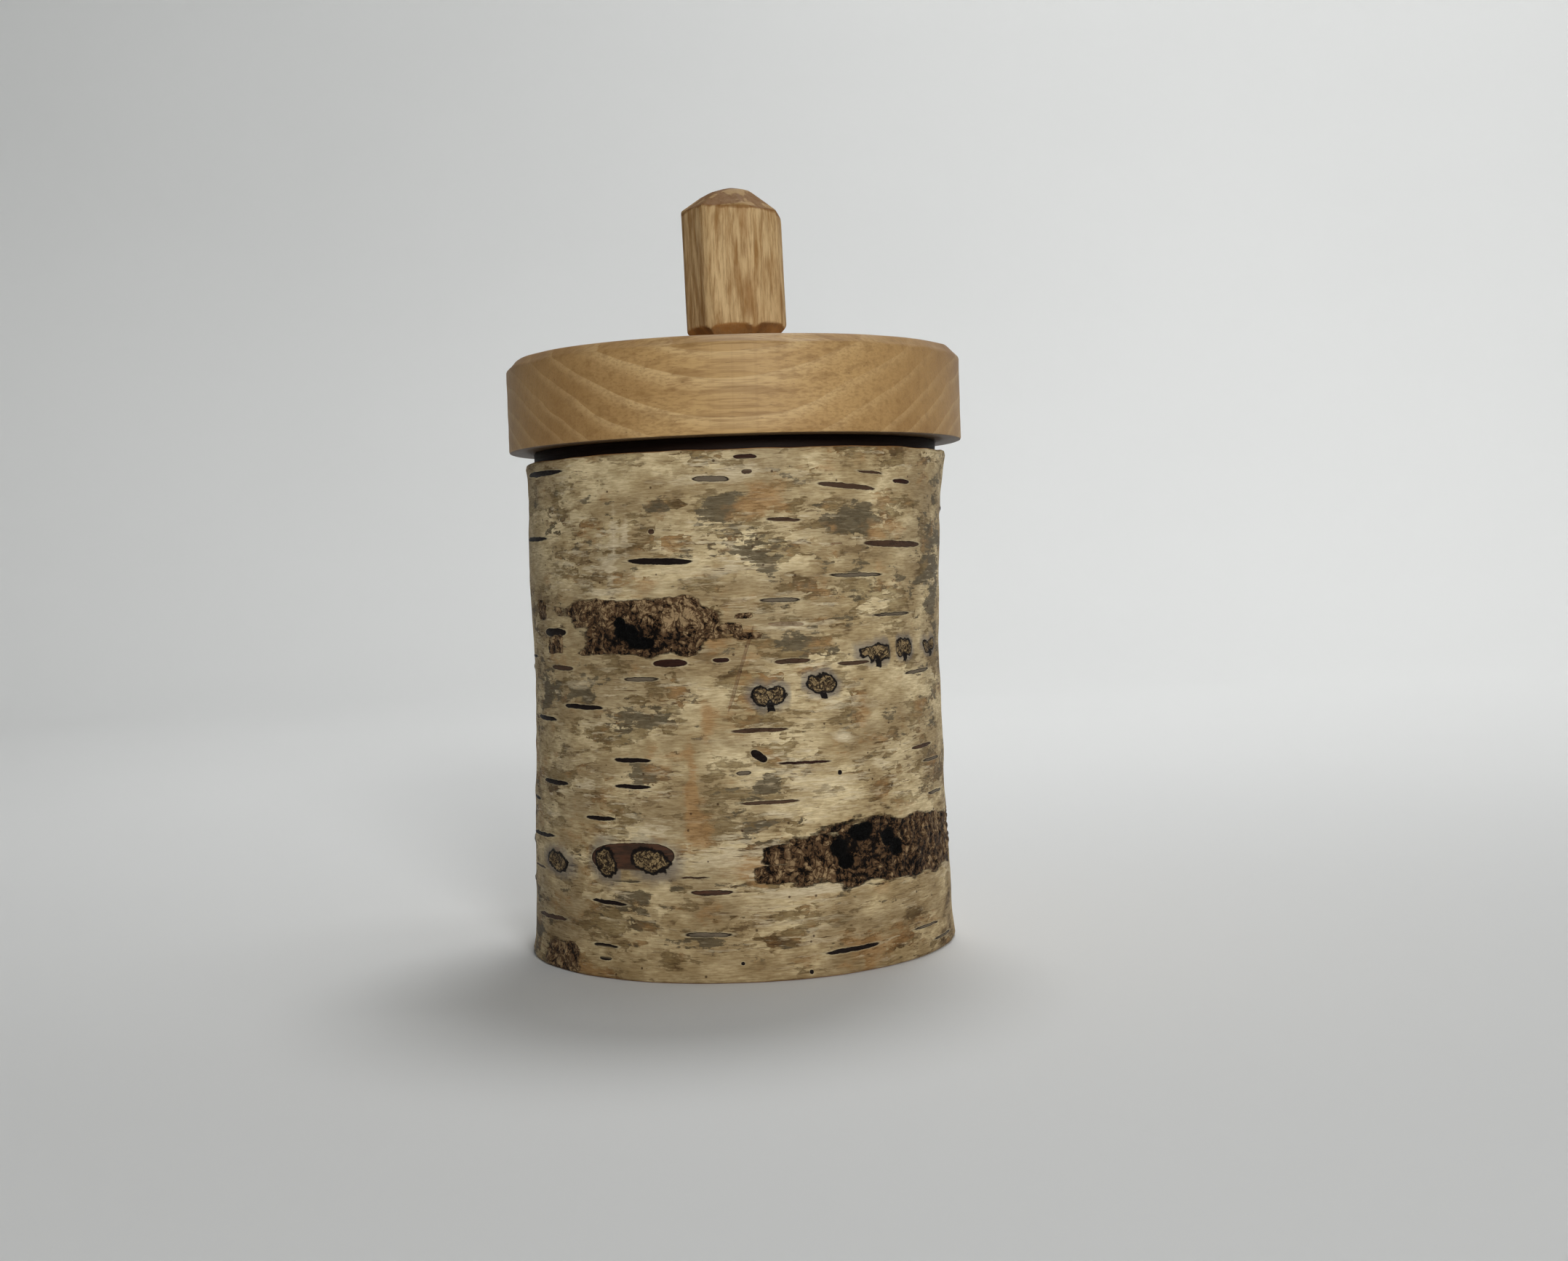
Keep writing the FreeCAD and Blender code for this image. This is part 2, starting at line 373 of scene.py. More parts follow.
sleeve = lathe(
    "bark_sleeve_skin",
    [
        (SPIN_RADIUS, CORNER),
        (SPIN_RADIUS, TUBE_HEIGHT - CORNER),
        (SPIN_RADIUS - CORNER_MIDDLE, TUBE_HEIGHT - CORNER_MIDDLE),
        (SPIN_RADIUS - CORNER, TUBE_HEIGHT),
        (SPIN_RADIUS - WALL, TUBE_HEIGHT),
        (SPIN_RADIUS - WALL, 0.0),
        (SPIN_RADIUS - CORNER, 0.0),
        (SPIN_RADIUS - CORNER_MIDDLE, CORNER_MIDDLE),
    ],
    [BARK_ROWS, 0, 0, 1, 8, 1, 0, 0],
    BARK_STEPS,
)

# %% [markdown]
# ## The bark tube: its outline
# The trunk's radius and the drift of its middle are read at eleven heights along the tube's outline. Two
# smooth curves fitted to them give both at any height, where straight pieces would show as bends. Soft
# waves are added to the radius, because bark that dries on a tube never lies quite even. Nothing is moved
# yet: the pores and the scars come first.

# %% Draw the trunk's outline
# height, radius, and how far the middle lies to the right of the lid's axis, all in mm
TRUNK = np.array([
    (0, 50.9, -1.9),
    (8, 50.1, -1.8),
    (18, 49.5, -1.7),
    (27, 49.6, -1.6),
    (40, 49.1, -1.6),
    (50, 48.5, -1.5),
    (65, 48.4, -1.5),
    (85, 48.8, -1.3),
    (100, 49.2, -0.8),
    (110, 49.7, -0.5),
    (116, 50.5, -0.2),
])
trunk_radius = np.polynomial.Polynomial.fit(TRUNK[:, 0], TRUNK[:, 1], 6)
trunk_middle = np.polynomial.Polynomial.fit(TRUNK[:, 0], TRUNK[:, 2], 4)
MEAN_RADIUS = 49.3
ARC = MEAN_RADIUS * math.radians(1)
BROAD_SWELL = 0.28
FINE_SWELL = 0.13

sleeve_points = points_of(sleeve)
turn = np.degrees(np.arctan2(sleeve_points[:, 0], -sleeve_points[:, 1]))
depth = SPIN_RADIUS - np.hypot(sleeve_points[:, 0], sleeve_points[:, 1])
height = sleeve_points[:, 2].copy()
outside = np.clip(1 - depth / CORNER, 0, 1)
swell = BROAD_SWELL * waviness(sleeve_points, 26.0, 1) + FINE_SWELL * waviness(sleeve_points, 6.0, 2)
print(f"one degree of turn is {ARC:.3f} mm of bark")

# %% [markdown]
# ## The bark tube: pores
# Birch breathes through long level pores, the dark dashes of its bark. A scatter would give some birch, but
# not this one. So every pore that the front shows is listed, with its turn from the front, height, length,
# width, tilt and look. The list is worth its length: these dashes make this tube what it is.

# %% List the pores
# red share, how light the middle is, how faint the whole pore is
PORE_LOOKS = {
    "black": (0.15, 0.0, 0.0),
    "brown": (0.85, 0.3, 0.05),
    "red": (1.0, 0.2, 0.0),
    "grey": (0.2, 1.0, 0.0),
    "faint": (0.6, 0.6, 0.45),
    "stain": (1.0, 1.0, 0.6),
    "strip": (0.85, 0.85, 0.0),
}
# turn in degrees, height, length, width in mm, tilt in degrees, look
FRONT_PORES = [
    (-62.5, 112.8, 20, 1.2, 0, "black"),
    (2.5, 113.8, 5.0, 1.0, -3, "red"),
    (3, 110.6, 2.2, 0.9, 0, "brown"),
    (-6, 109.3, 8, 1.2, -3, "grey"),
    (30, 107.0, 15, 1.1, -5, "brown"),
    (37, 110.0, 7, 0.5, -5, "brown"),
    (49, 108.0, 6, 1.0, -3, "red"),
    (-70.5, 98, 17, 1.0, 0, "black"),
    (-21.5, 98.4, 1.4, 1.1, 0, "brown"),
    (12.5, 100.1, 7.5, 0.8, -3, "brown"),
    (47, 94.1, 20, 1.4, -2, "brown"),
    (27, 94.5, 3, 0.4, 0, "faint"),
    (-19.5, 91.9, 15, 1.4, -2, "black"),
    (33.5, 87.5, 14.5, 0.9, -1, "grey"),
    (11.5, 82.7, 9, 0.9, -1, "grey"),
    (13, 77.4, 8, 0.9, -2, "faint"),
    (46.5, 78.4, 13, 0.7, 0, "grey"),
    (-57.5, 76.6, 9.5, 1.9, 0, "black"),
    (-76.5, 70.8, 6.5, 0.6, 0, "black"),
    (-54.5, 68.6, 9, 1.1, -2, "brown"),
    (-11.5, 76.1, 5, 2.0, 3, "strip"),
    (-17.5, 69.7, 8, 1.6, 0, "red"),
    (-4, 70.1, 3.6, 1.0, 0, "red"),
    (14.5, 69.3, 8.2, 1.1, 0, "brown"),
    (32, 68.2, 8.5, 0.9, 0, "brown"),
    (-26, 66.3, 8.7, 0.9, 0, "grey"),
    (58.5, 64.9, 11.5, 0.8, 2, "grey"),
    (-46, 60, 13, 1.1, -1, "black"),
    (-65.5, 56.8, 12, 1.0, -1, "black"),
    (5.5, 54.6, 12.5, 0.9, 0, "brown"),
    (5, 49, 4, 1.7, -33, "black"),
    (17, 47.1, 12, 0.6, -1, "red"),
    (-29, 48.5, 9.5, 1.0, 0, "black"),
    (-29, 42.7, 9.2, 0.9, -1, "black"),
    (-59.5, 42.4, 12.5, 1.1, 0, "black"),
    (59, 47.7, 10, 0.8, 2, "brown"),
    (65, 44.2, 10.5, 0.7, 0, "grey"),
    (26.5, 44.3, 1.0, 1.0, 0, "black"),
    (1, 45.5, 3.2, 0.9, 0, "grey"),
    (7.5, 38.9, 13, 0.8, 0, "brown"),
    (-76, 37.6, 8, 0.8, 0, "black"),
    (-39.5, 35.4, 8.7, 0.9, 0, "black"),
    (66.5, 36.5, 9.5, 0.7, 0, "grey"),
    (-69, 29.7, 16, 0.9, 2, "black"),
    (-73, 21.8, 12, 0.5, 2, "brown"),
    (-30, 27.2, 21.5, 6.2, 3, "strip"),
    (-33, 21.9, 10, 0.6, 0, "black"),
    (-14, 23, 9, 0.4, 0, "brown"),
    (-8, 19.7, 9.2, 1.1, 0, "strip"),
    (-37, 16.9, 9.8, 0.9, -2, "black"),
    (-63, 11.2, 16, 1.0, 2, "brown"),
    (-9, 10.6, 10, 1.0, 0, "grey"),
    (-38, 7.2, 7, 0.8, -1, "black"),
    (-38, 4.4, 3.5, 0.8, 0, "black"),
    (28.5, 5.3, 13.5, 1.0, 2, "black"),
    (56.5, 6.7, 10.5, 0.6, 0, "grey"),
    (66, 3, 10.5, 0.6, 0, "grey"),
    (16.5, 1.5, 0.9, 1.0, 0, "black"),
    (-0.5, 4.3, 0.8, 0.7, 0, "black"),
    (1, 68.0, 19, 0.7, 72, "stain"),
]
print(f"{len(FRONT_PORES)} pores on the front")

# %% [markdown]
# ## The bark tube: pores on the back
# The back is unseen, so a seeded scatter goes on there in the same manner. A spot that would crowd another
# one is thrown away, because the pores of a trunk keep their distance.

# %% Scatter the pores of the back
UNSEEN_FROM = 84.0
UNSEEN_TO = 276.0
BACK_PORE_COUNT = 46
CROWD_LENGTH = 15
CROWD_RISE = 4
chance = random.Random(11)
back_pores = []
while len(back_pores) < BACK_PORE_COUNT:
    spot_turn = chance.uniform(UNSEEN_FROM, UNSEEN_TO)
    spot_height = chance.uniform(4.0, 112.0)
    crowded = any(
        abs(spot_turn - other[0]) * ARC < CROWD_LENGTH and abs(spot_height - other[1]) < CROWD_RISE
        for other in back_pores
    )
    if not crowded:
        look = chance.choice(["black", "black", "black", "brown", "grey", "red"])
        tilt = chance.uniform(-3, 3)
        length = chance.uniform(6, 17)
        back_pores.append((spot_turn, spot_height, length, chance.uniform(0.7, 1.3), tilt, look))
PORES = FRONT_PORES + back_pores
print(f"{len(back_pores)} pores on the back")

# %% [markdown]
# ## The bark tube: coordinates for the pores
# A pore is a millimetre wide, which is finer than this mesh could draw with vertex colours. Instead every
# vertex keeps where it lies inside its nearest pore: -1 to 1 along it and -1 to 1 across it. The finish
# reads these smooth numbers between the vertices and draws a crisp edge anywhere.


# %% Find every vertex's place in its nearest pore
def place_along(spot_turn, spot_height, tilt=0.0):
    """How far each sleeve vertex lies from a spot, along and across it, in mm."""
    along = ((turn - spot_turn + 180) % 360 - 180) * ARC
    across = height - spot_height
    sine, cosine = math.sin(math.radians(tilt)), math.cos(math.radians(tilt))
    return along * cosine + across * sine, across * cosine - along * sine


NEAR_REACH = 5.0
SEAM_WIDTH = 1.6
LIP_RISE = 0.26
WIDEST_LIP = 1.6


def nearest_places(spots):
    """For each vertex: its place in the nearest spot, a share that says a spot is near, and its index."""
    first = np.full(len(turn), 99.0)
    second = np.full(len(turn), 99.0)
    place = np.zeros((len(turn), 3))
    index = np.zeros(len(turn), dtype=int)
    for number, (spot_turn, spot_height, half_length, half_width, tilt) in enumerate(spots):
        along, across = place_along(spot_turn, spot_height, tilt)
        gap = np.hypot(np.maximum(abs(along) - half_length, 0), np.maximum(abs(across) - half_width, 0))
        second = np.minimum(second, np.maximum(gap, first))
        mine = gap < first
        first[mine] = gap[mine]
        place[mine, 0] = along[mine] / half_length
        place[mine, 1] = across[mine] / half_width
        index[mine] = number
    place[:, 2] = np.clip(NEAR_REACH - first, 0, 1) * np.clip(second - first - SEAM_WIDTH, 0, 1)
    return place, index


pore_place, pore_index = nearest_places([(p[0], p[1], p[2] / 2, p[3] / 2, p[4]) for p in PORES])
pore_look = np.array([PORE_LOOKS[p[5]] for p in PORES])[pore_index]
pore_width = np.array([p[3] for p in PORES])[pore_index]
pore_lens = pore_place[:, 0] ** 4 + pore_place[:, 1] ** 2
pore_ridge = pore_place[:, 2] * np.exp(-pore_lens) * np.clip(pore_width, 0, WIDEST_LIP) * LIP_RISE
keep_attribute(sleeve, "pore", pore_place)
keep_attribute(sleeve, "pore_look", pore_look)
keep_attribute(sleeve, "pore_half_width", pore_width / 2)
print(f"{(pore_place[:, 2] > 0.5).sum()} vertices lie in or near a pore")

# %% [markdown]
# ## The bark tube: scars
# Where twigs died back, the bark shows small scars: pairs of tan lobes with a black outline, and eyes.
# Two thick branches left wide rough scars with black knots. All are listed, as the pores were, and the unseen
# back gets a few of the same kinds. A rough scar is put together from several patches, because a single oval
# can't follow its stepped outline.

# %% List the scars
# turn, height, half width, half height, and 1 for a pair of lobes or 0 for one eye
BUD_SCARS = [
    (8.2, 61.8, 3.5, 2.9, 1),
    (22.3, 63.9, 3.4, 2.9, 1),
    (40, 69.9, 4.5, 2.8, 1),
    (51, 70.4, 3.1, 2.8, 1),
    (66.3, 70.4, 3.3, 2.3, 1),
    (-37.4, 25.9, 2.9, 3.2, 0),
    (-24, 26.6, 4.4, 2.9, 0),
    (-58, 24.5, 4.6, 2.3, 0),
    (122, 66, 3.4, 3.0, 1),
    (136, 68, 3.2, 2.8, 1),
    (205, 24, 3.6, 2.8, 0),
    (246, 73, 3.2, 2.8, 1),
]
# turn, height, half length, half height, darkness: patches that together make the branch scars
ROUGH_PATCHES = [
    (-26, 75.4, 18, 4.0, 0.85),
    (-29, 80.4, 21, 3.6, 0.3),
    (-13, 78.0, 8, 4.6, 0.4),
    (-66, 81.6, 3, 2.4, 0.4),
    (-58, 74.0, 4, 2.2, 0.3),
    (-1, 77.2, 2.6, 1.1, 0.3),
    (3.5, 75.2, 2.8, 0.8, 0.3),
    (2, 79.6, 2.2, 0.7, 0.2),
    (9, 27.4, 4, 2.2, 0.8),
    (10, 23.0, 6, 2.0, 0.6),
    (22, 26.0, 10, 5.6, 0.85),
    (36, 26.0, 13, 8.0, 1.0),
    (52, 25.6, 13, 7.6, 0.85),
    (68, 25.6, 11, 6.4, 0.6),
    (86, 26.0, 12, 5.0, 0.6),
    (-56, 3.0, 7.5, 3.4, 0.3),
    (168, 52.0, 17, 7.0, 0.9),
    (186, 54.0, 12, 5.0, 0.5),
    (228, 98.0, 11, 4.5, 0.6),
]
# turn, height, half length, half height
BLACK_KNOTS = [
    (-31.8, 78.7, 1.9, 1.5),
    (-29.8, 76.6, 3.6, 2.2),
    (-25.9, 74.2, 4.0, 1.5),
    (32.5, 31.0, 3.8, 2.5),
    (25.7, 27.8, 2.3, 2.5),
    (27.7, 24.5, 2.2, 1.9),
    (41.3, 28.7, 2.5, 2.2),
    (44.7, 26.2, 2.5, 2.2),
    (166, 52.4, 4.0, 3.0),
    (226, 98.0, 2.4, 1.8),
]
# turn and height of the middles that the rings of the branch scars go round
RING_CENTRES = [(-28.5, 76.2), (34, 27.5), (166, 52.4), (226, 98.0)]
print(f"{len(BUD_SCARS)} bud scars, {len(ROUGH_PATCHES)} rough patches and {len(BLACK_KNOTS)} knots")

# %% [markdown]
# ## The bark tube: carving the scars
# The small scars get local coordinates like the pores. The rough ones are really carved: a pattern of cells
# gives blocks with cracks between them, cracks and knots are pressed into the mesh, and the same height is
# handed to the finish, so dark colour lies in the same cracks. Painted cracks alone would leave the tube's
# outline smooth where the real one is broken. Blender's noise vectors start from the clock unless they get
# a seed, so one is set, and the scars come out the same on every run.


# %% Carve the scars
def patch_closeness(patches, boxiness=4):
    """1 in the middle of the nearest patch, 0 at its edge. A boxiness of 2 gives ovals, 4 rounded boxes."""
    closeness = np.full(len(turn), -3.0)
    for spot_turn, spot_height, half_length, half_height, *_ in patches:
        along, across = place_along(spot_turn, spot_height)
        reach = abs(along / half_length) ** boxiness + abs(across / half_height) ** boxiness
        closeness = np.maximum(closeness, 1 - reach ** (1 / boxiness))
    return closeness


def crack_height(points, grain):
    """Blocks with cracks between them: 0 in a crack, 1 on top of a block."""
    found = np.zeros(len(points))
    for number, point in enumerate(points / grain):
        place = Vector(point)
        place += 0.6 * noise.noise_vector(place * 0.8)
        distances = noise.voronoi(place)[0]
        found[number] = min(1.0, (distances[1] - distances[0]) / 0.5)
    return found


BLOCK_GRAIN = np.array([3.0, 3.0, 2.6])
BLOCK_SEED = 7
SCAR_DEPTH = 0.6
KNOT_DEPTH = 0.6
BUD_RISE = 0.4
FRAYING = 0.16
PATCH_BLEND = 8

bud_place, bud_index = nearest_places([(b[0], b[1], b[2], b[3], 0.0) for b in BUD_SCARS])
bud_lobes = np.array([b[4] for b in BUD_SCARS])[bud_index]
bud_round = np.hypot(bud_place[:, 0], bud_place[:, 1])
bud_ridge = bud_place[:, 2] * BUD_RISE * np.exp(-(((bud_round - 0.8) / 0.35) ** 2))

edge_fray = FRAYING * waviness(sleeve_points, np.array([5.0, 5.0, 2.4]), 3)
closeness = patch_closeness(ROUGH_PATCHES) + edge_fray
rough_share = np.clip(closeness / 0.2, 0, 1) * outside
knot_share = np.clip(patch_closeness(BLACK_KNOTS, 2) + 0.4 + 0.6 * edge_fray, 0, 1)
weights = [np.exp(PATCH_BLEND * patch_closeness([patch])) for patch in ROUGH_PATCHES]
darkness = sum(weight * patch[4] for weight, patch in zip(weights, ROUGH_PATCHES)) / sum(weights)
ring_distance = np.full(len(turn), 99.0)
for centre_turn, centre_height in RING_CENTRES:
    ring_along, ring_across = place_along(centre_turn, centre_height)
    ring_distance = np.minimum(ring_distance, np.hypot(ring_along * 0.5, ring_across))
blocks = np.zeros(len(turn))
rough_rows = rough_share > 0
noise.seed_set(BLOCK_SEED)
blocks[rough_rows] = crack_height(sleeve_points[rough_rows], BLOCK_GRAIN)
sunken = KNOT_DEPTH * np.clip((knot_share - 0.45) / 0.3, 0, 1)
rough_relief = rough_share * ((blocks - 0.55) * SCAR_DEPTH - sunken)
keep_attribute(sleeve, "scar", np.stack([np.clip(0.5 + closeness, 0, 1), darkness, knot_share], axis=1))
keep_attribute(sleeve, "scar_form", np.stack([blocks, ring_distance, outside], axis=1))
keep_attribute(sleeve, "bud", bud_place)
keep_attribute(sleeve, "bud_pair", bud_lobes)
print(f"{rough_rows.sum()} vertices carved as rough bark")

# %% [markdown]
# ## The bark tube: stains
# The sheets of bark are worn unevenly. Soft blobs say where the grey under-layer, the tan inner bark or the
# white outer skin shows most. They are listed where the front shows them, and a few more lie on the back.

# %% List the stains
# turn, height, half length, half height, strength
GREY_STAINS = [
    (-4, 103, 8, 4.5, 1.1),
    (2, 96, 7, 3, 0.8),
    (33, 99.5, 9, 3.5, 1.2),
    (9, 91, 4, 5, 0.9),
    (-19.5, 104, 2.5, 1.6, 1.0),
    (70, 90, 9, 18, 1.0),
    (38, 84, 14, 5, 0.6),
    (17, 74, 8, 4, 0.6),
    (-64, 64, 6, 4.5, 1.0),
    (-46, 63, 8, 3, 0.8),
    (-27, 57.5, 9, 3.5, 1.1),
    (-26, 45.5, 6, 2.4, 1.1),
    (7, 43, 3.5, 2.4, 1.3),
    (2, 35, 9, 4, 0.6),
    (-30, 17, 10, 4, 0.8),
    (-12, 9, 9, 3, 0.7),
    (-74, 8, 8, 8, 0.7),
    (-55, 103, 8, 8, 0.4),
    (40, 56, 6, 2.5, 0.5),
    (66, 55, 8, 10, 0.5),
    (150, 90, 16, 9, 0.8),
    (205, 70, 14, 8, 0.9),
    (190, 20, 18, 7, 0.7),
    (258, 50, 10, 12, 0.6),
    (110, 40, 12, 8, 0.7),
]
TAN_STAINS = [
    (8, 106, 5, 3.5, 1.1),
    (4, 102, 4, 2.5, 0.8),
    (-12.5, 42, 1.4, 10, 1.3),
    (-9.5, 33, 3.5, 5, 0.9),
    (-8, 58, 1.6, 8, 0.8),
    (44, 98, 8, 3, 0.9),
    (24, 97, 7, 5, 0.6),
    (-17, 95, 4, 6, 0.8),
    (-44, 100, 3, 4, 0.7),
    (-3, 76, 7, 4, 0.9),
    (2, 62, 5, 8, 0.5),
    (36, 55, 6, 4, 0.7),
    (58, 55, 7, 7, 0.6),
    (3, 25, 4, 4, 1.0),
    (38, 5, 14, 4, 0.8),
    (-48, 1.5, 8, 1.8, 1.1),
    (-44, 22, 3, 6, 0.7),
    (-10, 16, 3, 4, 0.7),
    (160, 70, 9, 10, 0.7),
    (215, 40, 6, 12, 0.7),
    (130, 15, 9, 6, 0.7),
    (240, 108, 10, 5, 0.8),
]
PALE_STAINS = [
    (-32.5, 98, 0.9, 7, 1.2),
    (-29, 98, 0.8, 6, 0.9),
    (-34, 90, 1.0, 5, 0.8),
    (0, 110.5, 9, 2, 1.1),
    (-36, 85, 8, 1.5, 0.8),
    (-6, 88, 9, 5, 0.6),
    (20, 19, 13, 1.6, 1.4),
    (24, 42, 18, 6, 0.7),
    (-24, 33, 6, 2, 1.1),
    (34, 59, 14, 5, 0.5),
    (9, 27.5, 4, 2, 1.6),
    (-42, 90, 16, 6, 0.4),
    (-4, 27, 7, 4, 0.9),
    (18, 12, 14, 4, 0.4),
    (-16, 73, 8, 1.2, 1.1),
    (74, 18, 10, 3, 1.0),
    (66, 28, 4, 3, 1.2),
    (-48, 65, 6, 1.2, 1.0),
    (15, 77, 8, 1.4, 1.2),
    (28, 52, 2.5, 1.2, 1.5),
    (-40, 40, 18, 8, 0.3),
    (140, 50, 16, 8, 0.6),
    (230, 20, 14, 7, 0.7),
    (180, 105, 14, 6, 0.6),
]
print(f"{len(GREY_STAINS)} grey, {len(TAN_STAINS)} tan and {len(PALE_STAINS)} pale stains")

# %% [markdown]
# ## The bark tube: spreading the stains
# Each blob is a soft hill, and hills that meet add up. Painting them on by hand would do too, but not the
# same way twice. They only push the finish one way or the other: the ragged edge itself comes from noise.


# %% Spread the stains
STRONGEST_STAIN = 1.6


def stain(blobs):
    """How strongly each vertex is stained by these blobs."""
    total = np.zeros(len(turn))
    for spot_turn, spot_height, half_length, half_height, strength in blobs:
        along, across = place_along(spot_turn, spot_height)
        total += strength * np.exp(-((along / half_length) ** 2 + (across / half_height) ** 2))
    return np.clip(total, 0, STRONGEST_STAIN)


stains = [stain(GREY_STAINS), stain(TAN_STAINS), stain(PALE_STAINS)]
keep_attribute(sleeve, "stain", np.stack(stains, axis=1))
print("share of the bark that each stain touches:", [f"{(s > 0.3).mean():.2f}" for s in stains])

# %% [markdown]
# ## The bark tube: its final shape
# Now every vertex goes to its place: the trunk's radius at its height, plus the swelling, the lips of the
# pores, the rims of the bud scars and the carved scars. The face inside only follows the trunk. The cut rim
# at the top waves a little, as a knife cut in bark does. Moving all of it once keeps each step above simple.

# %% Move the sleeve to its carved shape
RIM_WAVE = 0.2
RIM_REACH = 3.0
new_radius = trunk_radius(height) - depth + swell + outside * (pore_ridge + bud_ridge + rough_relief)
near_rim = np.clip(1 - (TUBE_HEIGHT - height) / RIM_REACH, 0, 1)
facing = np.radians(turn)
carved = np.stack(
    [
        trunk_middle(height) + new_radius * np.sin(facing),
        -new_radius * np.cos(facing),
        height + RIM_WAVE * near_rim * waviness(sleeve_points, 9.0, 5),
    ],
    axis=1,
)
move_points(sleeve, carved)
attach(sleeve, "canister")
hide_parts("bark_sleeve")
print(f"sleeve radius {new_radius[outside > 0.9].min():.2f} to {new_radius[outside > 0.9].max():.2f} mm")

# %% [markdown]
# ## The bark finish
# Birch bark is a stack of paper-thin sheets, worn through in ragged level patches: cream on top, khaki and
# grey-olive where a sheet is gone, tan where the inner bark shows. Each layer here is a noise that is
# stretched sideways, pushed up or down by the stains and cut with a sharp step, so its edge is ragged like
# torn paper. Films that only darken what lies under them keep the colours from looking painted on.


# %% Noise and flakes that lie level
def level_noise(finish, length, rise, shift, detail=4.0, rough=0.6, warp=0.0):
    """Noise whose spots are about this long round the tube and this high, in mm."""
    per_metre = (1000 / length, 1000 / length, 1000 / rise)
    at = finish.place(scale=per_metre, shift=(shift, shift * 0.7, shift * 1.3))
    return finish.noise(at, detail=detail, rough=rough, warp=warp)


def flakes(finish, length, rise, shift):
    """A random number for each of many ragged flakes, all over the tube."""
    at = finish.place(scale=(1000 / length, 1000 / length, 1000 / rise), shift=(shift, shift, shift))
    bend = finish.noise(finish.place(scale=(420.0, 420.0, 700.0)), detail=3.0)
    shove = finish.node("VectorMath", {0: bend, 3: 1.1}, operation="SCALE")
    at = finish.node("VectorMath", {0: at, 1: shove}, operation="ADD")
    return finish.node("TexVoronoi", {"Vector": at, "Scale": 1.0}, out="Color", distance="CHEBYCHEV")


bark = Finish("birch_bark_finish", Roughness=0.6)
bark.shader.inputs["Specular IOR Level"].default_value = 0.1
grey_bias, tan_bias, pale_bias = bark.split(bark.attribute("stain", "Vector"))
blotch = level_noise(bark, 30.0, 18.0, 1.0, detail=3.0)
mottle = level_noise(bark, 9.0, 4.0, 2.0, detail=7.0, rough=0.62)
fray = level_noise(bark, 5.5, 0.7, 3.0, detail=5.0, rough=0.65)
fine_fray = level_noise(bark, 2.4, 0.3, 4.0, detail=3.0)
fray_push = bark.math("MULTIPLY_ADD", fray, 0.3, -0.15)
flake = bark.math("MULTIPLY_ADD", flakes(bark, 6.5, 2.4, 0.0), 0.24, -0.12)
small_flake = bark.math("MULTIPLY_ADD", flakes(bark, 3.0, 0.9, 5.0), 0.12, -0.06)
patchy = bark.ease(level_noise(bark, 20.0, 11.0, 6.0, detail=3.0), 0.42, 0.6, 0.18, 1.0)
flake_push = bark.math("MULTIPLY", bark.math("ADD", flake, small_flake), patchy)
print(f"noise for the bark: {len(bark.tree.nodes)} nodes")

# %% [markdown]
# ## The bark finish: cream, khaki and film
# The top sheet goes from cream to khaki, with broad darker clouds. Over it lies a thin film in ragged flakes,
# which only multiplies the colour below, and a thin brown line of painted shadow runs along its torn edge.

# %% The sheets of bark
broad_level = bark.math("MULTIPLY", level_noise(bark, 16.0, 9.0, 8.0), 0.6)
calm_level = bark.math("MULTIPLY_ADD", mottle, 0.4, broad_level)
base_level = bark.math("MULTIPLY_ADD", fray_push, 0.3, bark.math("ADD", calm_level, flake_push))
colour = bark.mix(bark.ease(base_level, 0.36, 0.56), tone(232, 213, 170), tone(181, 159, 118))
colour = bark.mix(bark.ease(base_level, 0.55, 0.65), colour, tone(122, 100, 69))
colour = bark.mix(bark.ease(blotch, 0.44, 0.62, 0.0, 0.6), colour, tone(152, 131, 97))

film_level = bark.math("ADD", level_noise(bark, 13.0, 6.0, 5.0, detail=7.0, rough=0.64), fray_push)
film_level = bark.math("MULTIPLY_ADD", grey_bias, 0.1, bark.math("ADD", film_level, flake_push))
film_share = bark.ease(film_level, 0.56, 0.61, 0.0, 0.65)
colour = bark.mix(film_share, colour, tone(186, 178, 158), "MULTIPLY")
# painted shadow: a thin brown line along the torn edge of the film
film_edge_shadow = bark.math("MULTIPLY", bark.ease(film_level, 0.555, 0.575), bark.ease(film_level, 0.63, 0.59))
colour = bark.mix(bark.math("MULTIPLY", film_edge_shadow, 0.3), colour, tone(136, 112, 78))
print(f"sheets of bark: {len(bark.tree.nodes)} nodes")

# %% [markdown]
# ## The bark finish: worn patches
# Where sheets are gone, the bark is grey-olive or tan, and where the outer skin is left it is nearly white.
# The stains placed before say where, and noise gives each patch its ragged edge, so no blob shows.

# %% Grey, tan and pale patches
grey_level = bark.math("ADD", level_noise(bark, 8.0, 4.0, 7.0, detail=8.0, rough=0.68), fray_push)
grey_level = bark.math("MULTIPLY_ADD", grey_bias, 0.25, bark.math("ADD", grey_level, flake_push))
grey_tone = bark.mix(level_noise(bark, 5.0, 2.5, 9.0), tone(84, 79, 67), tone(128, 113, 85))
colour = bark.mix(bark.ease(grey_level, 0.63, 0.67, 0.0, 0.9), colour, grey_tone)

tan_push = bark.math("MULTIPLY_ADD", fray_push, 0.6, flake_push)
tan_level = bark.math("ADD", level_noise(bark, 9.0, 6.0, 12.0, detail=6.0, rough=0.62), tan_push)
tan_level = bark.math("MULTIPLY_ADD", tan_bias, 0.26, tan_level)
colour = bark.mix(bark.ease(tan_level, 0.56, 0.76, 0.0, 0.7), colour, tone(180, 140, 92))

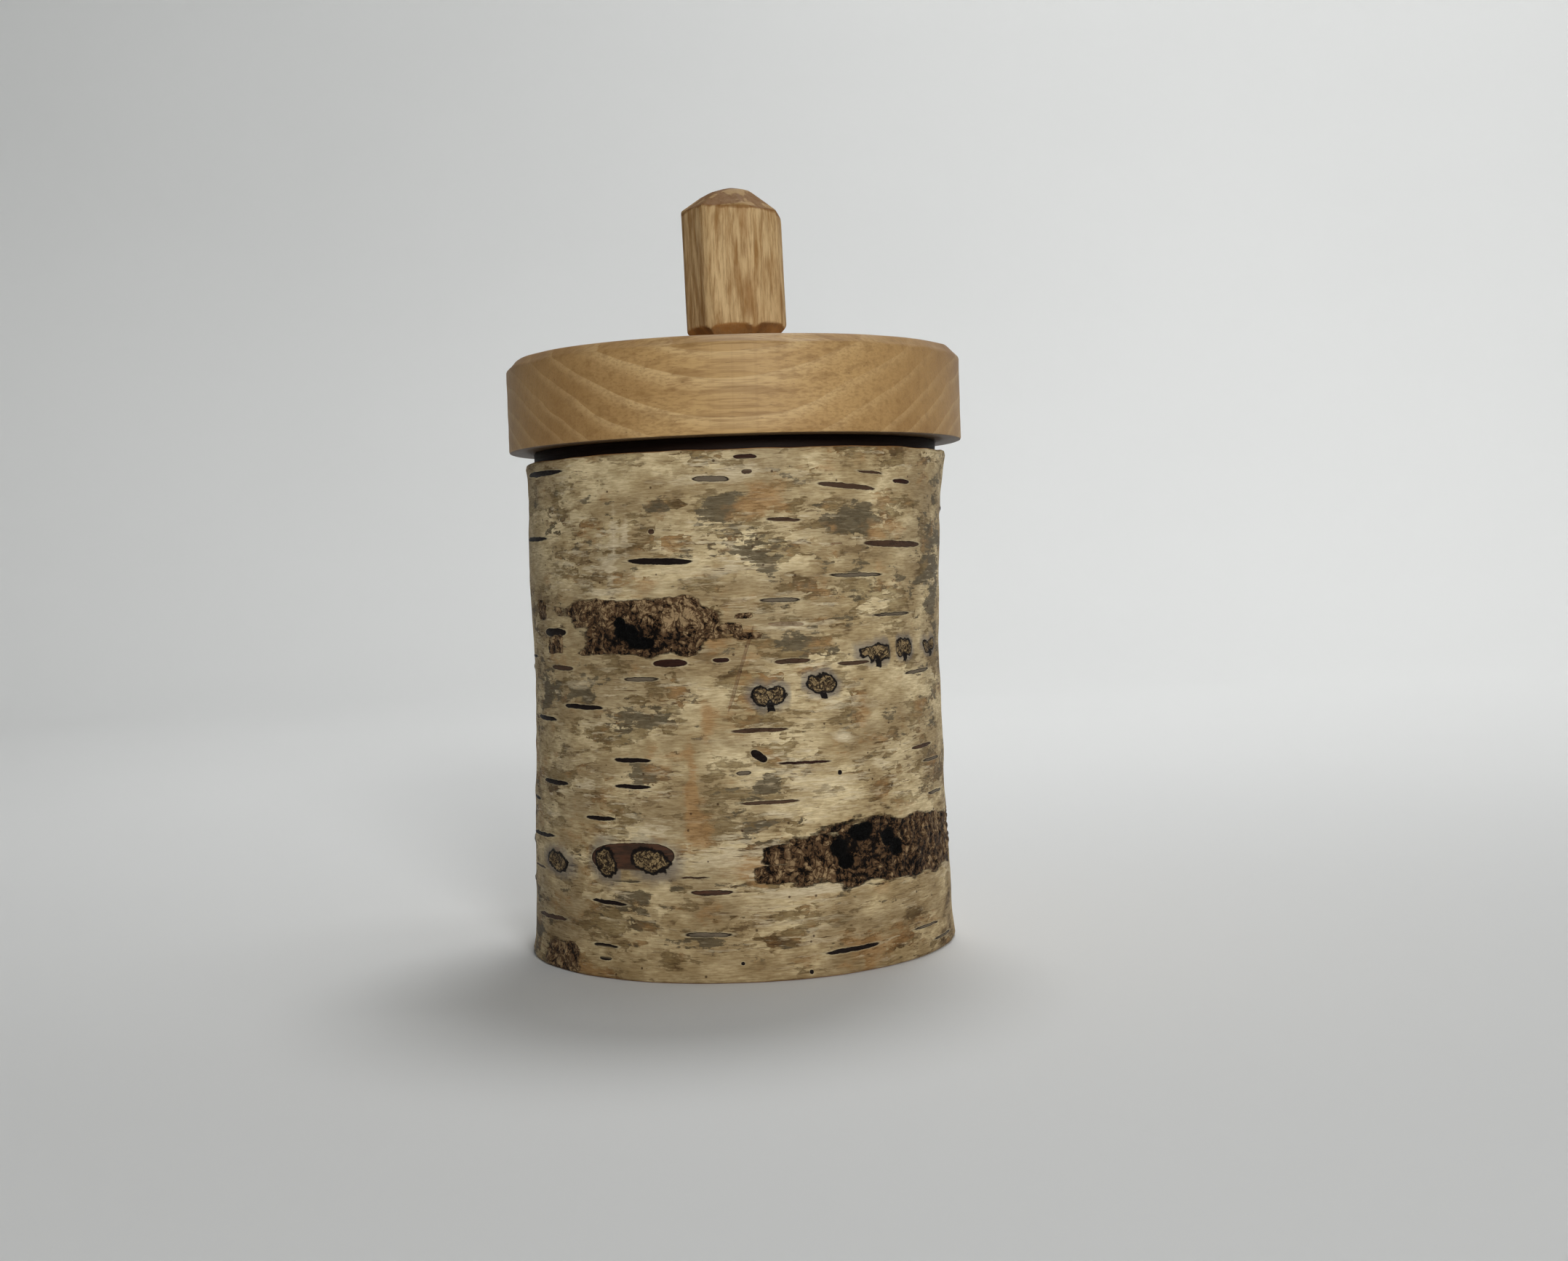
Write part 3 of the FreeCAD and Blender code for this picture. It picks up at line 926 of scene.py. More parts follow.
pale_level = bark.math("ADD", level_noise(bark, 8.0, 1.2, 15.0, detail=6.0, rough=0.65), small_flake)
pale_level = bark.math("MULTIPLY_ADD", pale_bias, 0.2, pale_level)
pale_share = bark.math("MAXIMUM", patchy, pale_bias)
pale_share = bark.math("MULTIPLY", bark.ease(pale_level, 0.57, 0.66, 0.0, 0.75), pale_share)
colour = bark.mix(pale_share, colour, tone(224, 208, 174))
print(f"worn patches: {len(bark.tree.nodes)} nodes")

# %% [markdown]
# ## The bark finish: small marks
# Between the pores lie hair-thin level dashes, a fine level fray and a few dark specks, and the tube grows a
# little darker towards the bottom. None of them would be noticed alone, but without them the bark looks like
# plastic.

# %% Dashes, fray, specks and a darker lower end
dash_level = level_noise(bark, 4.5, 0.4, 18.0, detail=3.0)
dash_share = bark.math("MULTIPLY", bark.ease(dash_level, 0.6, 0.68, 0.0, 0.85), patchy)
colour = bark.mix(dash_share, colour, tone(96, 72, 46))
colour = bark.mix(bark.ease(fine_fray, 0.34, 0.66, 0.0, 0.6), colour, tone(196, 184, 168), "MULTIPLY")
speck = bark.node("TexVoronoi", {"Vector": bark.place(), "Scale": 0.22, "Randomness": 1.0})
colour = bark.mix(bark.ease(speck, 0.075, 0.05, 0.0, 0.8), colour, tone(70, 48, 32))
# darker towards the bottom of the tube
_, _, bark_z = bark.split(bark.place())
colour = bark.mix(bark.ease(bark_z, 34.0, 0.0, 0.0, 0.6), colour, tone(200, 190, 176), "MULTIPLY")
print(f"small marks: {len(bark.tree.nodes)} nodes")

# %% [markdown]
# ## The bark finish: where the bud scars lie
# A bud scar is one eye or a pair of lobes, and none is quite even. Its local coordinates are skewed by slow
# noise, and the distance from the nearest lobe's middle is worked out from them: 1 lies on the outline.
# A grey halo comes first, because the pores and the scar itself lie on top of it.

# %% The bud scars' lobes and halo
bud_pair = bark.attribute("bud_pair")
bud_along, bud_across, bud_present = bark.split(bark.attribute("bud", "Vector"))
bud_near = bark.ease(bud_present, 0.1, 0.9)
ragged = bark.math("MULTIPLY_ADD", level_noise(bark, 1.6, 1.6, 21.0), 0.8, -0.4)


def pythagoras(finish, first, second):
    squares = finish.math("MULTIPLY_ADD", first, first, finish.math("MULTIPLY", second, second))
    return finish.math("SQRT", squares)


LOBE_SHIFT = 0.42
LOBE_RISE = 0.1
LOBE_SIZE = 0.64
skew = bark.math("MULTIPLY_ADD", level_noise(bark, 4.0, 4.0, 51.0, detail=1.0), 1.2, -0.6)
skew = bark.math("MULTIPLY", skew, bark.math("MULTIPLY_ADD", bud_pair, 0.7, 0.3))
bud_skewed = bark.math("MULTIPLY_ADD", bud_across, 0.18, bark.math("MULTIPLY_ADD", skew, 0.6, bud_along))
bud_side = bark.math("ABSOLUTE", bud_skewed)
bud_across = bark.math("ADD", bud_across, skew)
lobe_along = bark.math("MULTIPLY_ADD", bud_pair, -LOBE_SHIFT, bud_side)
lobe_across = bark.math("MULTIPLY_ADD", bud_pair, -LOBE_RISE, bud_across)
lobe_size = bark.math("MULTIPLY_ADD", bud_pair, LOBE_SIZE - 1.0, 1.0)
lobe = bark.math("DIVIDE", pythagoras(bark, lobe_along, lobe_across), lobe_size)
lobe = bark.math("ADD", lobe, ragged)
halo = bark.math("MULTIPLY", bark.ease(lobe, 2.2, 1.1, 0.0, 0.6), bud_near)
colour = bark.mix(halo, colour, tone(108, 105, 104))
print(f"bud halos: {len(bark.tree.nodes)} nodes")

# %% [markdown]
# ## The bark finish: pores
# From the place inside a pore, the finish works out how deep a point lies inside its outline, in mm. A little
# noise makes the outline wander. The lip round it is pale, the edge dark, and the heart of some pores shows
# grey or red-brown bark. Mesh colours could not hold lines this thin.

# %% The pores in the finish
pore_along, pore_across, pore_present = bark.split(bark.attribute("pore", "Vector"))
pore_near = bark.ease(pore_present, 0.1, 0.9)
pore_half_width = bark.attribute("pore_half_width")
pore_red, pore_light, pore_faint = bark.split(bark.attribute("pore_look", "Vector"))
wobble = bark.math("MULTIPLY_ADD", level_noise(bark, 2.6, 2.6, 24.0), 0.7, -0.35)
pore_offset = bark.math("ADD", pore_across, bark.math("DIVIDE", wobble, pore_half_width))
pore_ends = bark.math("POWER", bark.math("ABSOLUTE", pore_along), 3.0)
lens = bark.math("MULTIPLY_ADD", pore_offset, pore_offset, pore_ends)
pore_depth = bark.math("MULTIPLY", bark.math("SUBTRACT", lens, 1.0), pore_half_width)
inside_pore = bark.math("MULTIPLY", bark.ease(pore_depth, 0.1, -0.08), pore_near)
pore_solid = bark.math("MULTIPLY", inside_pore, bark.math("SUBTRACT", 1.0, pore_faint))
lip_share = bark.math("MULTIPLY_ADD", pore_faint, -0.6, 0.4)
pore_lip = bark.math("MULTIPLY", bark.math("MULTIPLY", bark.ease(pore_depth, 0.7, 0.1), pore_near), lip_share)
pore_edge = bark.mix(pore_red, tone(24, 18, 15), tone(42, 22, 17))
pore_edge = bark.mix(bark.math("MULTIPLY", pore_light, 0.15), pore_edge, tone(96, 80, 60))
pore_edge = bark.mix(pore_faint, pore_edge, tone(150, 84, 44))
red_heart = bark.mix(bark.ease(fray, 0.35, 0.62), tone(92, 52, 34), tone(50, 28, 20))
pore_heart = bark.mix(pore_red, tone(118, 108, 90), red_heart)
heart_share = bark.math("MULTIPLY", bark.ease(pore_depth, -0.1, -0.28), pore_light)
heart_share = bark.math("MULTIPLY", heart_share, bark.ease(fray, 0.2, 0.5, 0.5, 1.0))
colour = bark.mix(pore_lip, colour, tone(206, 190, 154))
colour = bark.mix(pore_solid, colour, bark.mix(heart_share, pore_edge, pore_heart))
print(f"pores: {len(bark.tree.nodes)} nodes")

# %% [markdown]
# ## The bark finish: rough scars
# A rough scar is brown with black cracks, rings round its middle and pale lumps. All of these are levels that
# are added up and turned into colour once, so that they blend as one rough surface. Black knots go on last,
# and noise tears the scar's edge.

# %% The rough scars in the finish
rough_soft, dark_scar, knot = bark.split(bark.attribute("scar", "Vector"))
block, ring, skin_share = bark.split(bark.attribute("scar_form", "Vector"))
grit = level_noise(bark, 1.3, 1.0, 27.0, detail=5.0, rough=0.7)


def wrinkle(finish, length, rise, shift):
    """Thin winding lines: 0 on a line and 1 away from it."""
    winding = level_noise(finish, length, rise, shift, detail=3.0, warp=1.2)
    off_line = finish.math("ABSOLUTE", finish.math("SUBTRACT", winding, 0.5))
    return finish.ease(off_line, 0.005, 0.07)


ring_wander = level_noise(bark, 5.0, 5.0, 30.0)
ring_wave = bark.math("MULTIPLY_ADD", ring_wander, 9.0, bark.math("MULTIPLY", ring, 4.2))
ring_wave = bark.math("MULTIPLY_ADD", bark.math("SINE", ring_wave), 0.5, 0.5)
deep_lines = wrinkle(bark, 4.2, 6.0, 33.0)
thin_lines = wrinkle(bark, 2.2, 2.0, 36.0)
upright = level_noise(bark, 1.2, 7.0, 45.0, detail=4.0, rough=0.6)
lumps = level_noise(bark, 5.0, 3.6, 48.0, detail=3.0)
core = bark.ease(ring, 8.0, 1.5, 0.0, 0.1)
scar_level = bark.math("MULTIPLY_ADD", block, 0.16, bark.math("MULTIPLY", deep_lines, 0.22))
scar_level = bark.math("MULTIPLY_ADD", thin_lines, 0.22, bark.math("SUBTRACT", scar_level, core))
scar_level = bark.math("MULTIPLY_ADD", ring_wave, 0.14, scar_level)
scar_level = bark.math("MULTIPLY_ADD", upright, 0.4, scar_level)
scar_level = bark.math("MULTIPLY_ADD", lumps, 0.8, scar_level)
scar_level = bark.math("MULTIPLY_ADD", grit, 0.3, bark.math("SUBTRACT", scar_level, 0.8))
scar_level = bark.math("MULTIPLY_ADD", dark_scar, -0.26, bark.math("ADD", scar_level, 0.24))
scar_tone = bark.mix(bark.ease(scar_level, 0.18, 0.46), tone(18, 12, 8), tone(96, 71, 48))
scar_tone = bark.mix(bark.ease(scar_level, 0.46, 0.74), scar_tone, tone(172, 144, 106))
knot_level = bark.math("ADD", knot, bark.math("MULTIPLY_ADD", grit, 0.3, -0.15))
scar_tone = bark.mix(bark.ease(knot_level, 0.4, 0.58), scar_tone, tone(7, 6, 5))
torn_edge = bark.math("ADD", rough_soft, bark.math("MULTIPLY_ADD", fray, 0.36, -0.18))
torn_edge = bark.math("MULTIPLY_ADD", grit, 0.24, bark.math("SUBTRACT", torn_edge, 0.12))
scar_share = bark.ease(torn_edge, 0.5, 0.6)
colour = bark.mix(scar_share, colour, scar_tone)
print(f"rough scars: {len(bark.tree.nodes)} nodes")

# %% [markdown]
# ## The bark finish: bud scars
# Each lobe is tan with a net of dark lines and a black outline. Under a pair hangs a short black stem, a
# small box at the bottom of the scar. They come after the rough scars, because buds lie on top of all.

# %% The bud scars in the finish
STEM_DROP = 0.7
stem_across = bark.math("ABSOLUTE", bark.math("ADD", bud_across, STEM_DROP))
stem = bark.math("MAXIMUM", bark.math("MULTIPLY", stem_across, 3.6), bark.math("MULTIPLY", bud_side, 4.6))
stem = bark.math("ADD", stem, ragged)
stem = bark.math("ADD", stem, bark.math("MULTIPLY_ADD", bud_pair, -9.0, 9.0))
lobe_or_stem = bark.math("MINIMUM", lobe, stem)
black_form = bark.math("MULTIPLY", bark.ease(lobe_or_stem, 1.12, 1.0), bud_near)
net = wrinkle(bark, 1.8, 1.8, 39.0)
lobe_tone = bark.mix(bark.math("MULTIPLY", net, thin_lines), tone(36, 26, 19), tone(152, 129, 92))
lobe_tone = bark.mix(bark.ease(grit, 0.52, 0.75), lobe_tone, tone(86, 66, 46))
lobe_heart = bark.math("MULTIPLY", bark.ease(lobe, 0.86, 0.74), bud_near)
colour = bark.mix(black_form, colour, tone(25, 20, 18))
colour = bark.mix(lobe_heart, colour, lobe_tone)
print(f"bud scars: {len(bark.tree.nodes)} nodes")

# %% [markdown]
# ## The bark finish: cut edge and relief
# At the rims and inside, the cut shows the bark's orange-brown layers. The fine steps of the sheets, the
# grit of the scars and the sunken pores are too small for the mesh, so they go into the finish as relief.

# %% The cut edge, the relief and the finished bark
cut_tone = bark.mix(level_noise(bark, 3.0, 0.3, 42.0), tone(190, 136, 82), tone(136, 90, 52))
colour = bark.mix(bark.ease(skin_share, 0.75, 0.2, 0.0, 0.9), colour, cut_tone)
bark.plug(bark.shader.inputs["Base Color"], colour)

film_step = bark.math("MULTIPLY", bark.ease(film_level, 0.55, 0.64), -0.35)
sheet_relief = bark.math("MULTIPLY_ADD", fine_fray, 0.4, bark.math("MULTIPLY_ADD", mottle, 0.5, film_step))
scar_relief = bark.math("MULTIPLY_ADD", deep_lines, 0.5, grit)
scar_relief = bark.math("MULTIPLY_ADD", thin_lines, 0.3, scar_relief)
sheet_relief = bark.math("MULTIPLY_ADD", scar_share, scar_relief, sheet_relief)
sheet_relief = bark.math("MULTIPLY_ADD", inside_pore, -0.5, sheet_relief)
bark.plug(bark.shader.inputs["Normal"], bark.relief(sheet_relief, 0.45 * MM))
sleeve.data.materials.append(bark.material)
print(f"bark finish: {len(bark.tree.nodes)} nodes")

# %% [markdown]
# ## The inner tube
# A second tube of bark is glued inside the first, with the smooth side of the bark facing the tea. It
# stands a little above the sleeve and carries the lid. Its mouth is pared true so that the lid's plug
# slides in. It is spun like the sleeve, because a tube with a stepped mouth is one closed outline.

# %% Spin the inner tube
INNER_GAP = 0.1
INNER_WALL = 2.0
RIM_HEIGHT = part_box("bark_liner")[1].z / MM
PLUG_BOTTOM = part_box("lid_plug")[0].z / MM
MOUTH_RADIUS = 46.0
PARED_FROM = PLUG_BOTTOM - 1.0
RIM_BREAK = 0.3
inner_spin = SPIN_RADIUS - WALL - INNER_GAP

liner = lathe(
    "inner_tube",
    [
        (inner_spin, 0.0),
        (inner_spin, RIM_HEIGHT - RIM_BREAK),
        (inner_spin - RIM_BREAK, RIM_HEIGHT),
        (MOUTH_RADIUS + RIM_BREAK, RIM_HEIGHT),
        (MOUTH_RADIUS, RIM_HEIGHT - RIM_BREAK),
        (MOUTH_RADIUS, PARED_FROM),
        (inner_spin - INNER_WALL, PARED_FROM),
        (inner_spin - INNER_WALL, 0.0),
    ],
    [40, 0, 2, 0, 4, 1, 40, 2],
    200,
)

# %% [markdown]
# ## The inner tube: following the trunk
# The inner tube is pressed into the sleeve and takes on its swelling and its lean. Only the pared mouth
# stays a true circle round the lid's axis. The bottom board will need the same move, so it is a function.


# %% Fit the inner tube to the trunk
HAIR = 0.01


def follow_trunk(points, inside_of):
    """Move points spun at this radius so that they lie on the trunk, which swells and leans."""
    at_height = np.clip(points[:, 2], 0, TUBE_HEIGHT)
    radius = np.hypot(points[:, 0], points[:, 1])
    longer = (trunk_radius(at_height) + radius - inside_of) / np.maximum(radius, 1e-6)
    moved = points.copy()
    moved[:, :2] *= longer[:, None]
    moved[:, 0] += trunk_middle(at_height)
    return moved


liner_points = points_of(liner)
liner_radius = np.hypot(liner_points[:, 0], liner_points[:, 1])
pared = liner_points[:, 2] > PARED_FROM - HAIR
pared &= liner_radius > MOUTH_RADIUS - HAIR
pared &= liner_radius < MOUTH_RADIUS + RIM_BREAK + HAIR
on_trunk = follow_trunk(liner_points, SPIN_RADIUS)
on_trunk[pared] = liner_points[pared]
move_points(liner, on_trunk)
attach(liner, "canister")
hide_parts("bark_liner")
print(f"mouth {2 * MOUTH_RADIUS:.1f} mm wide, rim {RIM_HEIGHT - TUBE_HEIGHT:.1f} mm above the sleeve")

# %% [markdown]
# ## The inner bark's finish
# Inner bark is smooth and orange-brown, with the same level pores as short dark dashes. Its outer face above
# the sleeve is painted near black as painted shade, so that the gap under the lid reads as a dark line of
# shadow, while the cut rim itself shows layers. The same level noise as on the sleeve does the work, only
# calmer.

# %% The inner bark's finish
inner_bark = Finish("inner_bark_finish", Roughness=0.6)
inner_bark.shader.inputs["Specular IOR Level"].default_value = 0.1
inner_cloud = level_noise(inner_bark, 30.0, 14.0, 1.0, detail=4.0)
inner_fibre = level_noise(inner_bark, 9.0, 0.8, 3.0, detail=4.0)
inner_dash = level_noise(inner_bark, 7.0, 0.6, 6.0, detail=2.0)
inner_colour = inner_bark.mix(inner_bark.ease(inner_cloud, 0.3, 0.7), tone(196, 152, 100), tone(158, 112, 66))
pale_fibre = inner_bark.ease(inner_fibre, 0.4, 0.75, 0.0, 0.45)
inner_colour = inner_bark.mix(pale_fibre, inner_colour, tone(214, 176, 126))
dark_dash = inner_bark.ease(inner_dash, 0.66, 0.72, 0.0, 0.8)
inner_colour = inner_bark.mix(dark_dash, inner_colour, tone(92, 56, 32))
inner_x, inner_y, inner_z = inner_bark.split(inner_bark.place())
cut_rim = inner_bark.ease(inner_z, RIM_HEIGHT - 0.2, RIM_HEIGHT - 0.05)
cut_layers = inner_bark.noise(inner_bark.place(scale=(1500.0, 1500.0, 20.0)), detail=3.0)
rim_tone = inner_bark.mix(cut_layers, tone(120, 84, 50), tone(186, 142, 94))
inner_colour = inner_bark.mix(cut_rim, inner_colour, rim_tone)
# painted shade: the outer face above the sleeve lies in the gap under the lid and is painted near black
outer_face = inner_bark.ease(pythagoras(inner_bark, inner_x, inner_y), inner_spin - 0.6, inner_spin - 0.1)
gap_painted_shade = inner_bark.math("MULTIPLY", outer_face, inner_bark.ease(inner_z, TUBE_HEIGHT - 0.4, TUBE_HEIGHT))
gap_shade_tone = inner_bark.mix(inner_fibre, tone(16, 10, 7), tone(40, 25, 17))
inner_colour = inner_bark.mix(gap_painted_shade, inner_colour, gap_shade_tone)
inner_bark.plug(inner_bark.shader.inputs["Base Color"], inner_colour)
inner_height_map = inner_bark.math("MULTIPLY_ADD", inner_dash, -0.5, inner_fibre)
inner_bark.plug(inner_bark.shader.inputs["Normal"], inner_bark.relief(inner_height_map, 0.2 * MM))
liner.data.materials.append(inner_bark.material)
print(f"inner bark finish: {len(inner_bark.tree.nodes)} nodes")

# %% [markdown]
# ## Solid wood
# The lid, its plug and the bottom are cut from planks. A plank's grain goes right through it, so this
# finish is worked out in space: growth rings are tubes round the heart of the tree, which lies outside the
# plank, fibres run along the heart, and rays run out from it. Where the plank is turned round, the rings
# come out as the bowed lines that the lid's side shows.


# %% A finish for planks
def plank_finish(name, heart, ring_width, pale, deep, late, roughness):
    """Wood with its fibres along x, and its colour; heart is the (y, z) of the tree's middle in mm."""
    finish = Finish(name, Roughness=roughness)
    finish.shader.inputs["Specular IOR Level"].default_value = 0.25
    x, y, z = finish.split(finish.place())
    from_heart_y = finish.math("SUBTRACT", y, heart[0])
    from_heart_z = finish.math("SUBTRACT", z, heart[1])
    reach = pythagoras(finish, from_heart_y, from_heart_z)
    sway = finish.noise(finish.place(scale=(14.0, 45.0, 45.0)), detail=3.0)
    reach = finish.math("MULTIPLY_ADD", sway, 5.0, reach)
    year_place = finish.node("CombineXYZ", {0: finish.math("MULTIPLY", reach, 0.13)})
    good_years = finish.noise(year_place, detail=1.0)
    reach = finish.math("MULTIPLY_ADD", good_years, 6.0, reach)
    ring = finish.math("FRACT", finish.math("DIVIDE", reach, ring_width))
    late_wood = finish.math("MULTIPLY", finish.ease(ring, 0.45, 0.94), finish.ease(ring, 1.0, 0.95))
    cloud = finish.noise(finish.place(scale=(22.0, 34.0, 34.0), shift=(3.0, 1.0, 0.0)), detail=3.0)
    fibre = finish.noise(finish.place(scale=(45.0, 2200.0, 2200.0)), detail=4.0, rough=0.6)
    streak = finish.noise(finish.place(scale=(26.0, 560.0, 560.0), shift=(5.0, 0.0, 2.0)), detail=4.0)
    fleck = finish.noise(finish.place(scale=(190.0, 2600.0, 2600.0), shift=(1.0, 6.0, 0.0)), detail=2.0)
    chatter = finish.noise(finish.place(scale=(850.0, 850.0, 28.0)), detail=2.0)
    angle = finish.math("ARCTAN2", from_heart_y, from_heart_z)
    ray_along = finish.math("MULTIPLY", x, 0.5)
    ray_place = finish.node("CombineXYZ", {0: ray_along, 1: finish.math("MULTIPLY", angle, 75.0)})
    ray = finish.noise(ray_place, detail=3.0, rough=0.6)

    end_grain = finish.ease(finish.math("ABSOLUTE", x), 12.0, 48.0)
    long_grain = finish.math("MULTIPLY_ADD", end_grain, -0.7, 1.0)
    colour = finish.mix(finish.ease(cloud, 0.32, 0.7), pale, deep)
    ring_fade = finish.math("MULTIPLY_ADD", end_grain, -0.25, finish.ease(sway, 0.35, 0.65, 0.35, 0.75))
    colour = finish.mix(finish.math("MULTIPLY", late_wood, ring_fade), colour, tone(222, 190, 138))
    streak_share = finish.math("MULTIPLY", finish.ease(streak, 0.5, 0.66, 0.0, 0.45), long_grain)
    colour = finish.mix(streak_share, colour, late)
    fibre_share = finish.math("MULTIPLY", finish.ease(fibre, 0.42, 0.66, 0.0, 0.45), long_grain)
    colour = finish.mix(fibre_share, colour, late)
    ray_share = finish.math("MULTIPLY", finish.ease(ray, 0.46, 0.74, 0.0, 0.16), end_grain)
    colour = finish.mix(ray_share, colour, late)
    colour = finish.mix(finish.ease(chatter, 0.48, 0.7, 0.0, 0.1), colour, late)
    colour = finish.mix(finish.math("MULTIPLY", end_grain, 0.5), colour, tone(196, 176, 150), "MULTIPLY")
    colour = finish.mix(finish.ease(fleck, 0.68, 0.75, 0.0, 0.55), colour, tone(96, 70, 42))
    height_map = finish.math("MULTIPLY_ADD", late_wood, 0.35, fibre)
    height_map = finish.math("MULTIPLY_ADD", ray_share, -0.6, height_map)
    finish.plug(finish.shader.inputs["Normal"], finish.relief(height_map, 0.12 * MM))
    finish.plug(finish.shader.inputs["Base Color"], colour)
    print(f"{name}: {len(finish.tree.nodes)} nodes")
    return finish, colour


# %% [markdown]
# ## The bottom
# A round board is pressed into the inner tube, 2 mm above the lower edge of the bark. It can be seen from
# below and, with the lid off, at the bottom of the tea chamber. Its edges are broken so that they catch
# a thin line of light.

# %% Turn the bottom board
BOARD_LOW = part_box("bottom_disc")[0].z / MM
BOARD_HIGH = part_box("bottom_disc")[1].z / MM
BOARD_FIT = 0.1
BOARD_INSET = WALL + INNER_GAP + INNER_WALL + BOARD_FIT
BOARD_BREAK = 0.5
board_spin = SPIN_RADIUS - BOARD_INSET

board = lathe(
    "bottom_board",
    [
        (0.0, BOARD_LOW),
        (board_spin - BOARD_BREAK, BOARD_LOW),
        (board_spin, BOARD_LOW + BOARD_BREAK),
        (board_spin, BOARD_HIGH - BOARD_BREAK),
        (board_spin - BOARD_BREAK, BOARD_HIGH),
        (0.0, BOARD_HIGH),
    ],
    [16, 0, 4, 0, 16],
    160,
    hollow=False,
)
board_points = points_of(board)
board_share = np.clip(np.hypot(board_points[:, 0], board_points[:, 1]) / board_spin, 0, 1)
board_on_trunk = follow_trunk(board_points, SPIN_RADIUS)
middle = board_points + np.outer(trunk_middle(board_points[:, 2]), (1.0, 0.0, 0.0))
move_points(board, middle + (board_on_trunk - middle) * board_share[:, None])
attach(board, "canister")
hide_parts("bottom_disc")
board_wood, _ = plank_finish(
    "bottom_board_finish",
    heart=(12.0, -30.0),
    ring_width=5.0,
    pale=tone(206, 174, 120),
    deep=tone(184, 148, 94),
    late=tone(156, 116, 68),
    roughness=0.6,
)
board.data.materials.append(board_wood.material)
print(f"bottom board {BOARD_HIGH - BOARD_LOW:.1f} mm thick")

# %% [markdown]
# ## The lid
# The cap is a thick disc, turned on a lathe, with a chamfer round its top and every edge slightly round. The
# tenon's hole sits a little right of the middle. Cutting it with a boolean would leave long thin faces, so
# the hole is spun with the disc, and its ring of points is then shifted, less and less towards the rim.

# %% Turn the cap
LID_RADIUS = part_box("lid_cap")[1].x / MM
LID_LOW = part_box("lid_cap")[0].z / MM
LID_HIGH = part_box("lid_cap")[1].z / MM
CHAMFER = 2.1
SOFT = 0.35
HOLE_RADIUS = 8.05
KNOB_OFFSET = 1.5
SHIFT_END = 40.0


def lid_disc(name, outline, cuts, steps):
    """A disc with the tenon's hole, which lies right of the middle."""
    disc = lathe(name, outline, cuts, steps)
    points = points_of(disc)
    radius = np.hypot(points[:, 0], points[:, 1])
    points[:, 0] += KNOB_OFFSET * np.clip((SHIFT_END - radius) / (SHIFT_END - HOLE_RADIUS), 0, 1)
    move_points(disc, points)
    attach(disc, "lid")
    return disc


cap = lid_disc(
    "lid_cap_wood",
    [
        (HOLE_RADIUS, LID_LOW),
        (LID_RADIUS - 1.6 * SOFT, LID_LOW),
        (LID_RADIUS - 0.5 * SOFT, LID_LOW + 0.4 * SOFT),
        (LID_RADIUS, LID_LOW + 1.4 * SOFT),
        (LID_RADIUS, LID_HIGH - CHAMFER - SOFT),
        (LID_RADIUS - 0.5 * SOFT, LID_HIGH - CHAMFER + 0.4 * SOFT),
        (LID_RADIUS - CHAMFER + 0.4 * SOFT, LID_HIGH - 0.5 * SOFT),
        (LID_RADIUS - CHAMFER - SOFT, LID_HIGH),
        (HOLE_RADIUS, LID_HIGH),
    ],
    [16, 0, 0, 22, 0, 4, 0, 22, 4],
    300,
)
print(f"cap {2 * LID_RADIUS:.0f} mm across and {LID_HIGH - LID_LOW:.1f} mm thick")

# %% [markdown]
# ## The lid: eased by hand
# The chamfer was cut by hand and isn't quite even. Soft waves of about a tenth of a millimetre along it, and
# fainter ones on the turned side, break up the light just enough. A bevel modifier would be too perfect.

# %% Ease the chamfer
HAND_WORK = 0.16
TURNING_MARKS = 0.05
cap_points = points_of(cap)
cap_radius = np.hypot(cap_points[:, 0], cap_points[:, 1])
on_chamfer = np.clip((cap_points[:, 2] - LID_HIGH + 1.6 * CHAMFER) / CHAMFER, 0, 1)
on_chamfer *= np.clip((cap_radius - LID_RADIUS + 2.2 * CHAMFER) / CHAMFER, 0, 1)
hand_work = HAND_WORK * waviness(cap_points, np.array([9.0, 9.0, 3.0]), 8) - HAND_WORK / 2
on_side = np.clip((cap_radius - LID_RADIUS + 1.0) / 1.0, 0, 1)
turning = TURNING_MARKS * waviness(cap_points, np.array([60.0, 60.0, 4.0]), 9) - TURNING_MARKS
cap_points[:, :2] *= (1 + (on_chamfer * hand_work + on_side * turning) / np.maximum(cap_radius, 1))[:, None]
cap_points[:, 2] += on_chamfer * hand_work * 0.6 * (cap_points[:, 2] < LID_HIGH - 0.05)
move_points(cap, cap_points)
keep_attribute(cap, "chamfer", on_chamfer)
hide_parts("lid_cap")
print(f"chamfer uneven by {hand_work[on_chamfer > 0.9].std():.3f} mm")

# %% [markdown]
# ## The cap's wood
# The cap is cut so that the heart of the tree lay well below it, which is why its rings sag in the middle of
# the side like a row of smiles. The chamfer is painted a little darker, a painted shade against the light
# that falls on it from above, and the underside is painted much darker, the painted shadow under the lid, so
# both are laid over the plain plank.

# %% Give the cap its wood
lid_wood, lid_colour = plank_finish(
    "lid_wood_finish",
    heart=(4.0, 78.0),
    ring_width=4.6,
    pale=tone(198, 162, 108),
    deep=tone(170, 132, 81),
    late=tone(136, 99, 55),
    roughness=0.5,
)
_, _, lid_z = lid_wood.split(lid_wood.place())
# painted shade: the chamfer is darkened a little against the light that falls on it from above
chamfer_painted_shade = lid_wood.math("MULTIPLY", lid_wood.attribute("chamfer"), 0.2)
lid_colour = lid_wood.mix(chamfer_painted_shade, lid_colour, tone(178, 170, 160), "MULTIPLY")
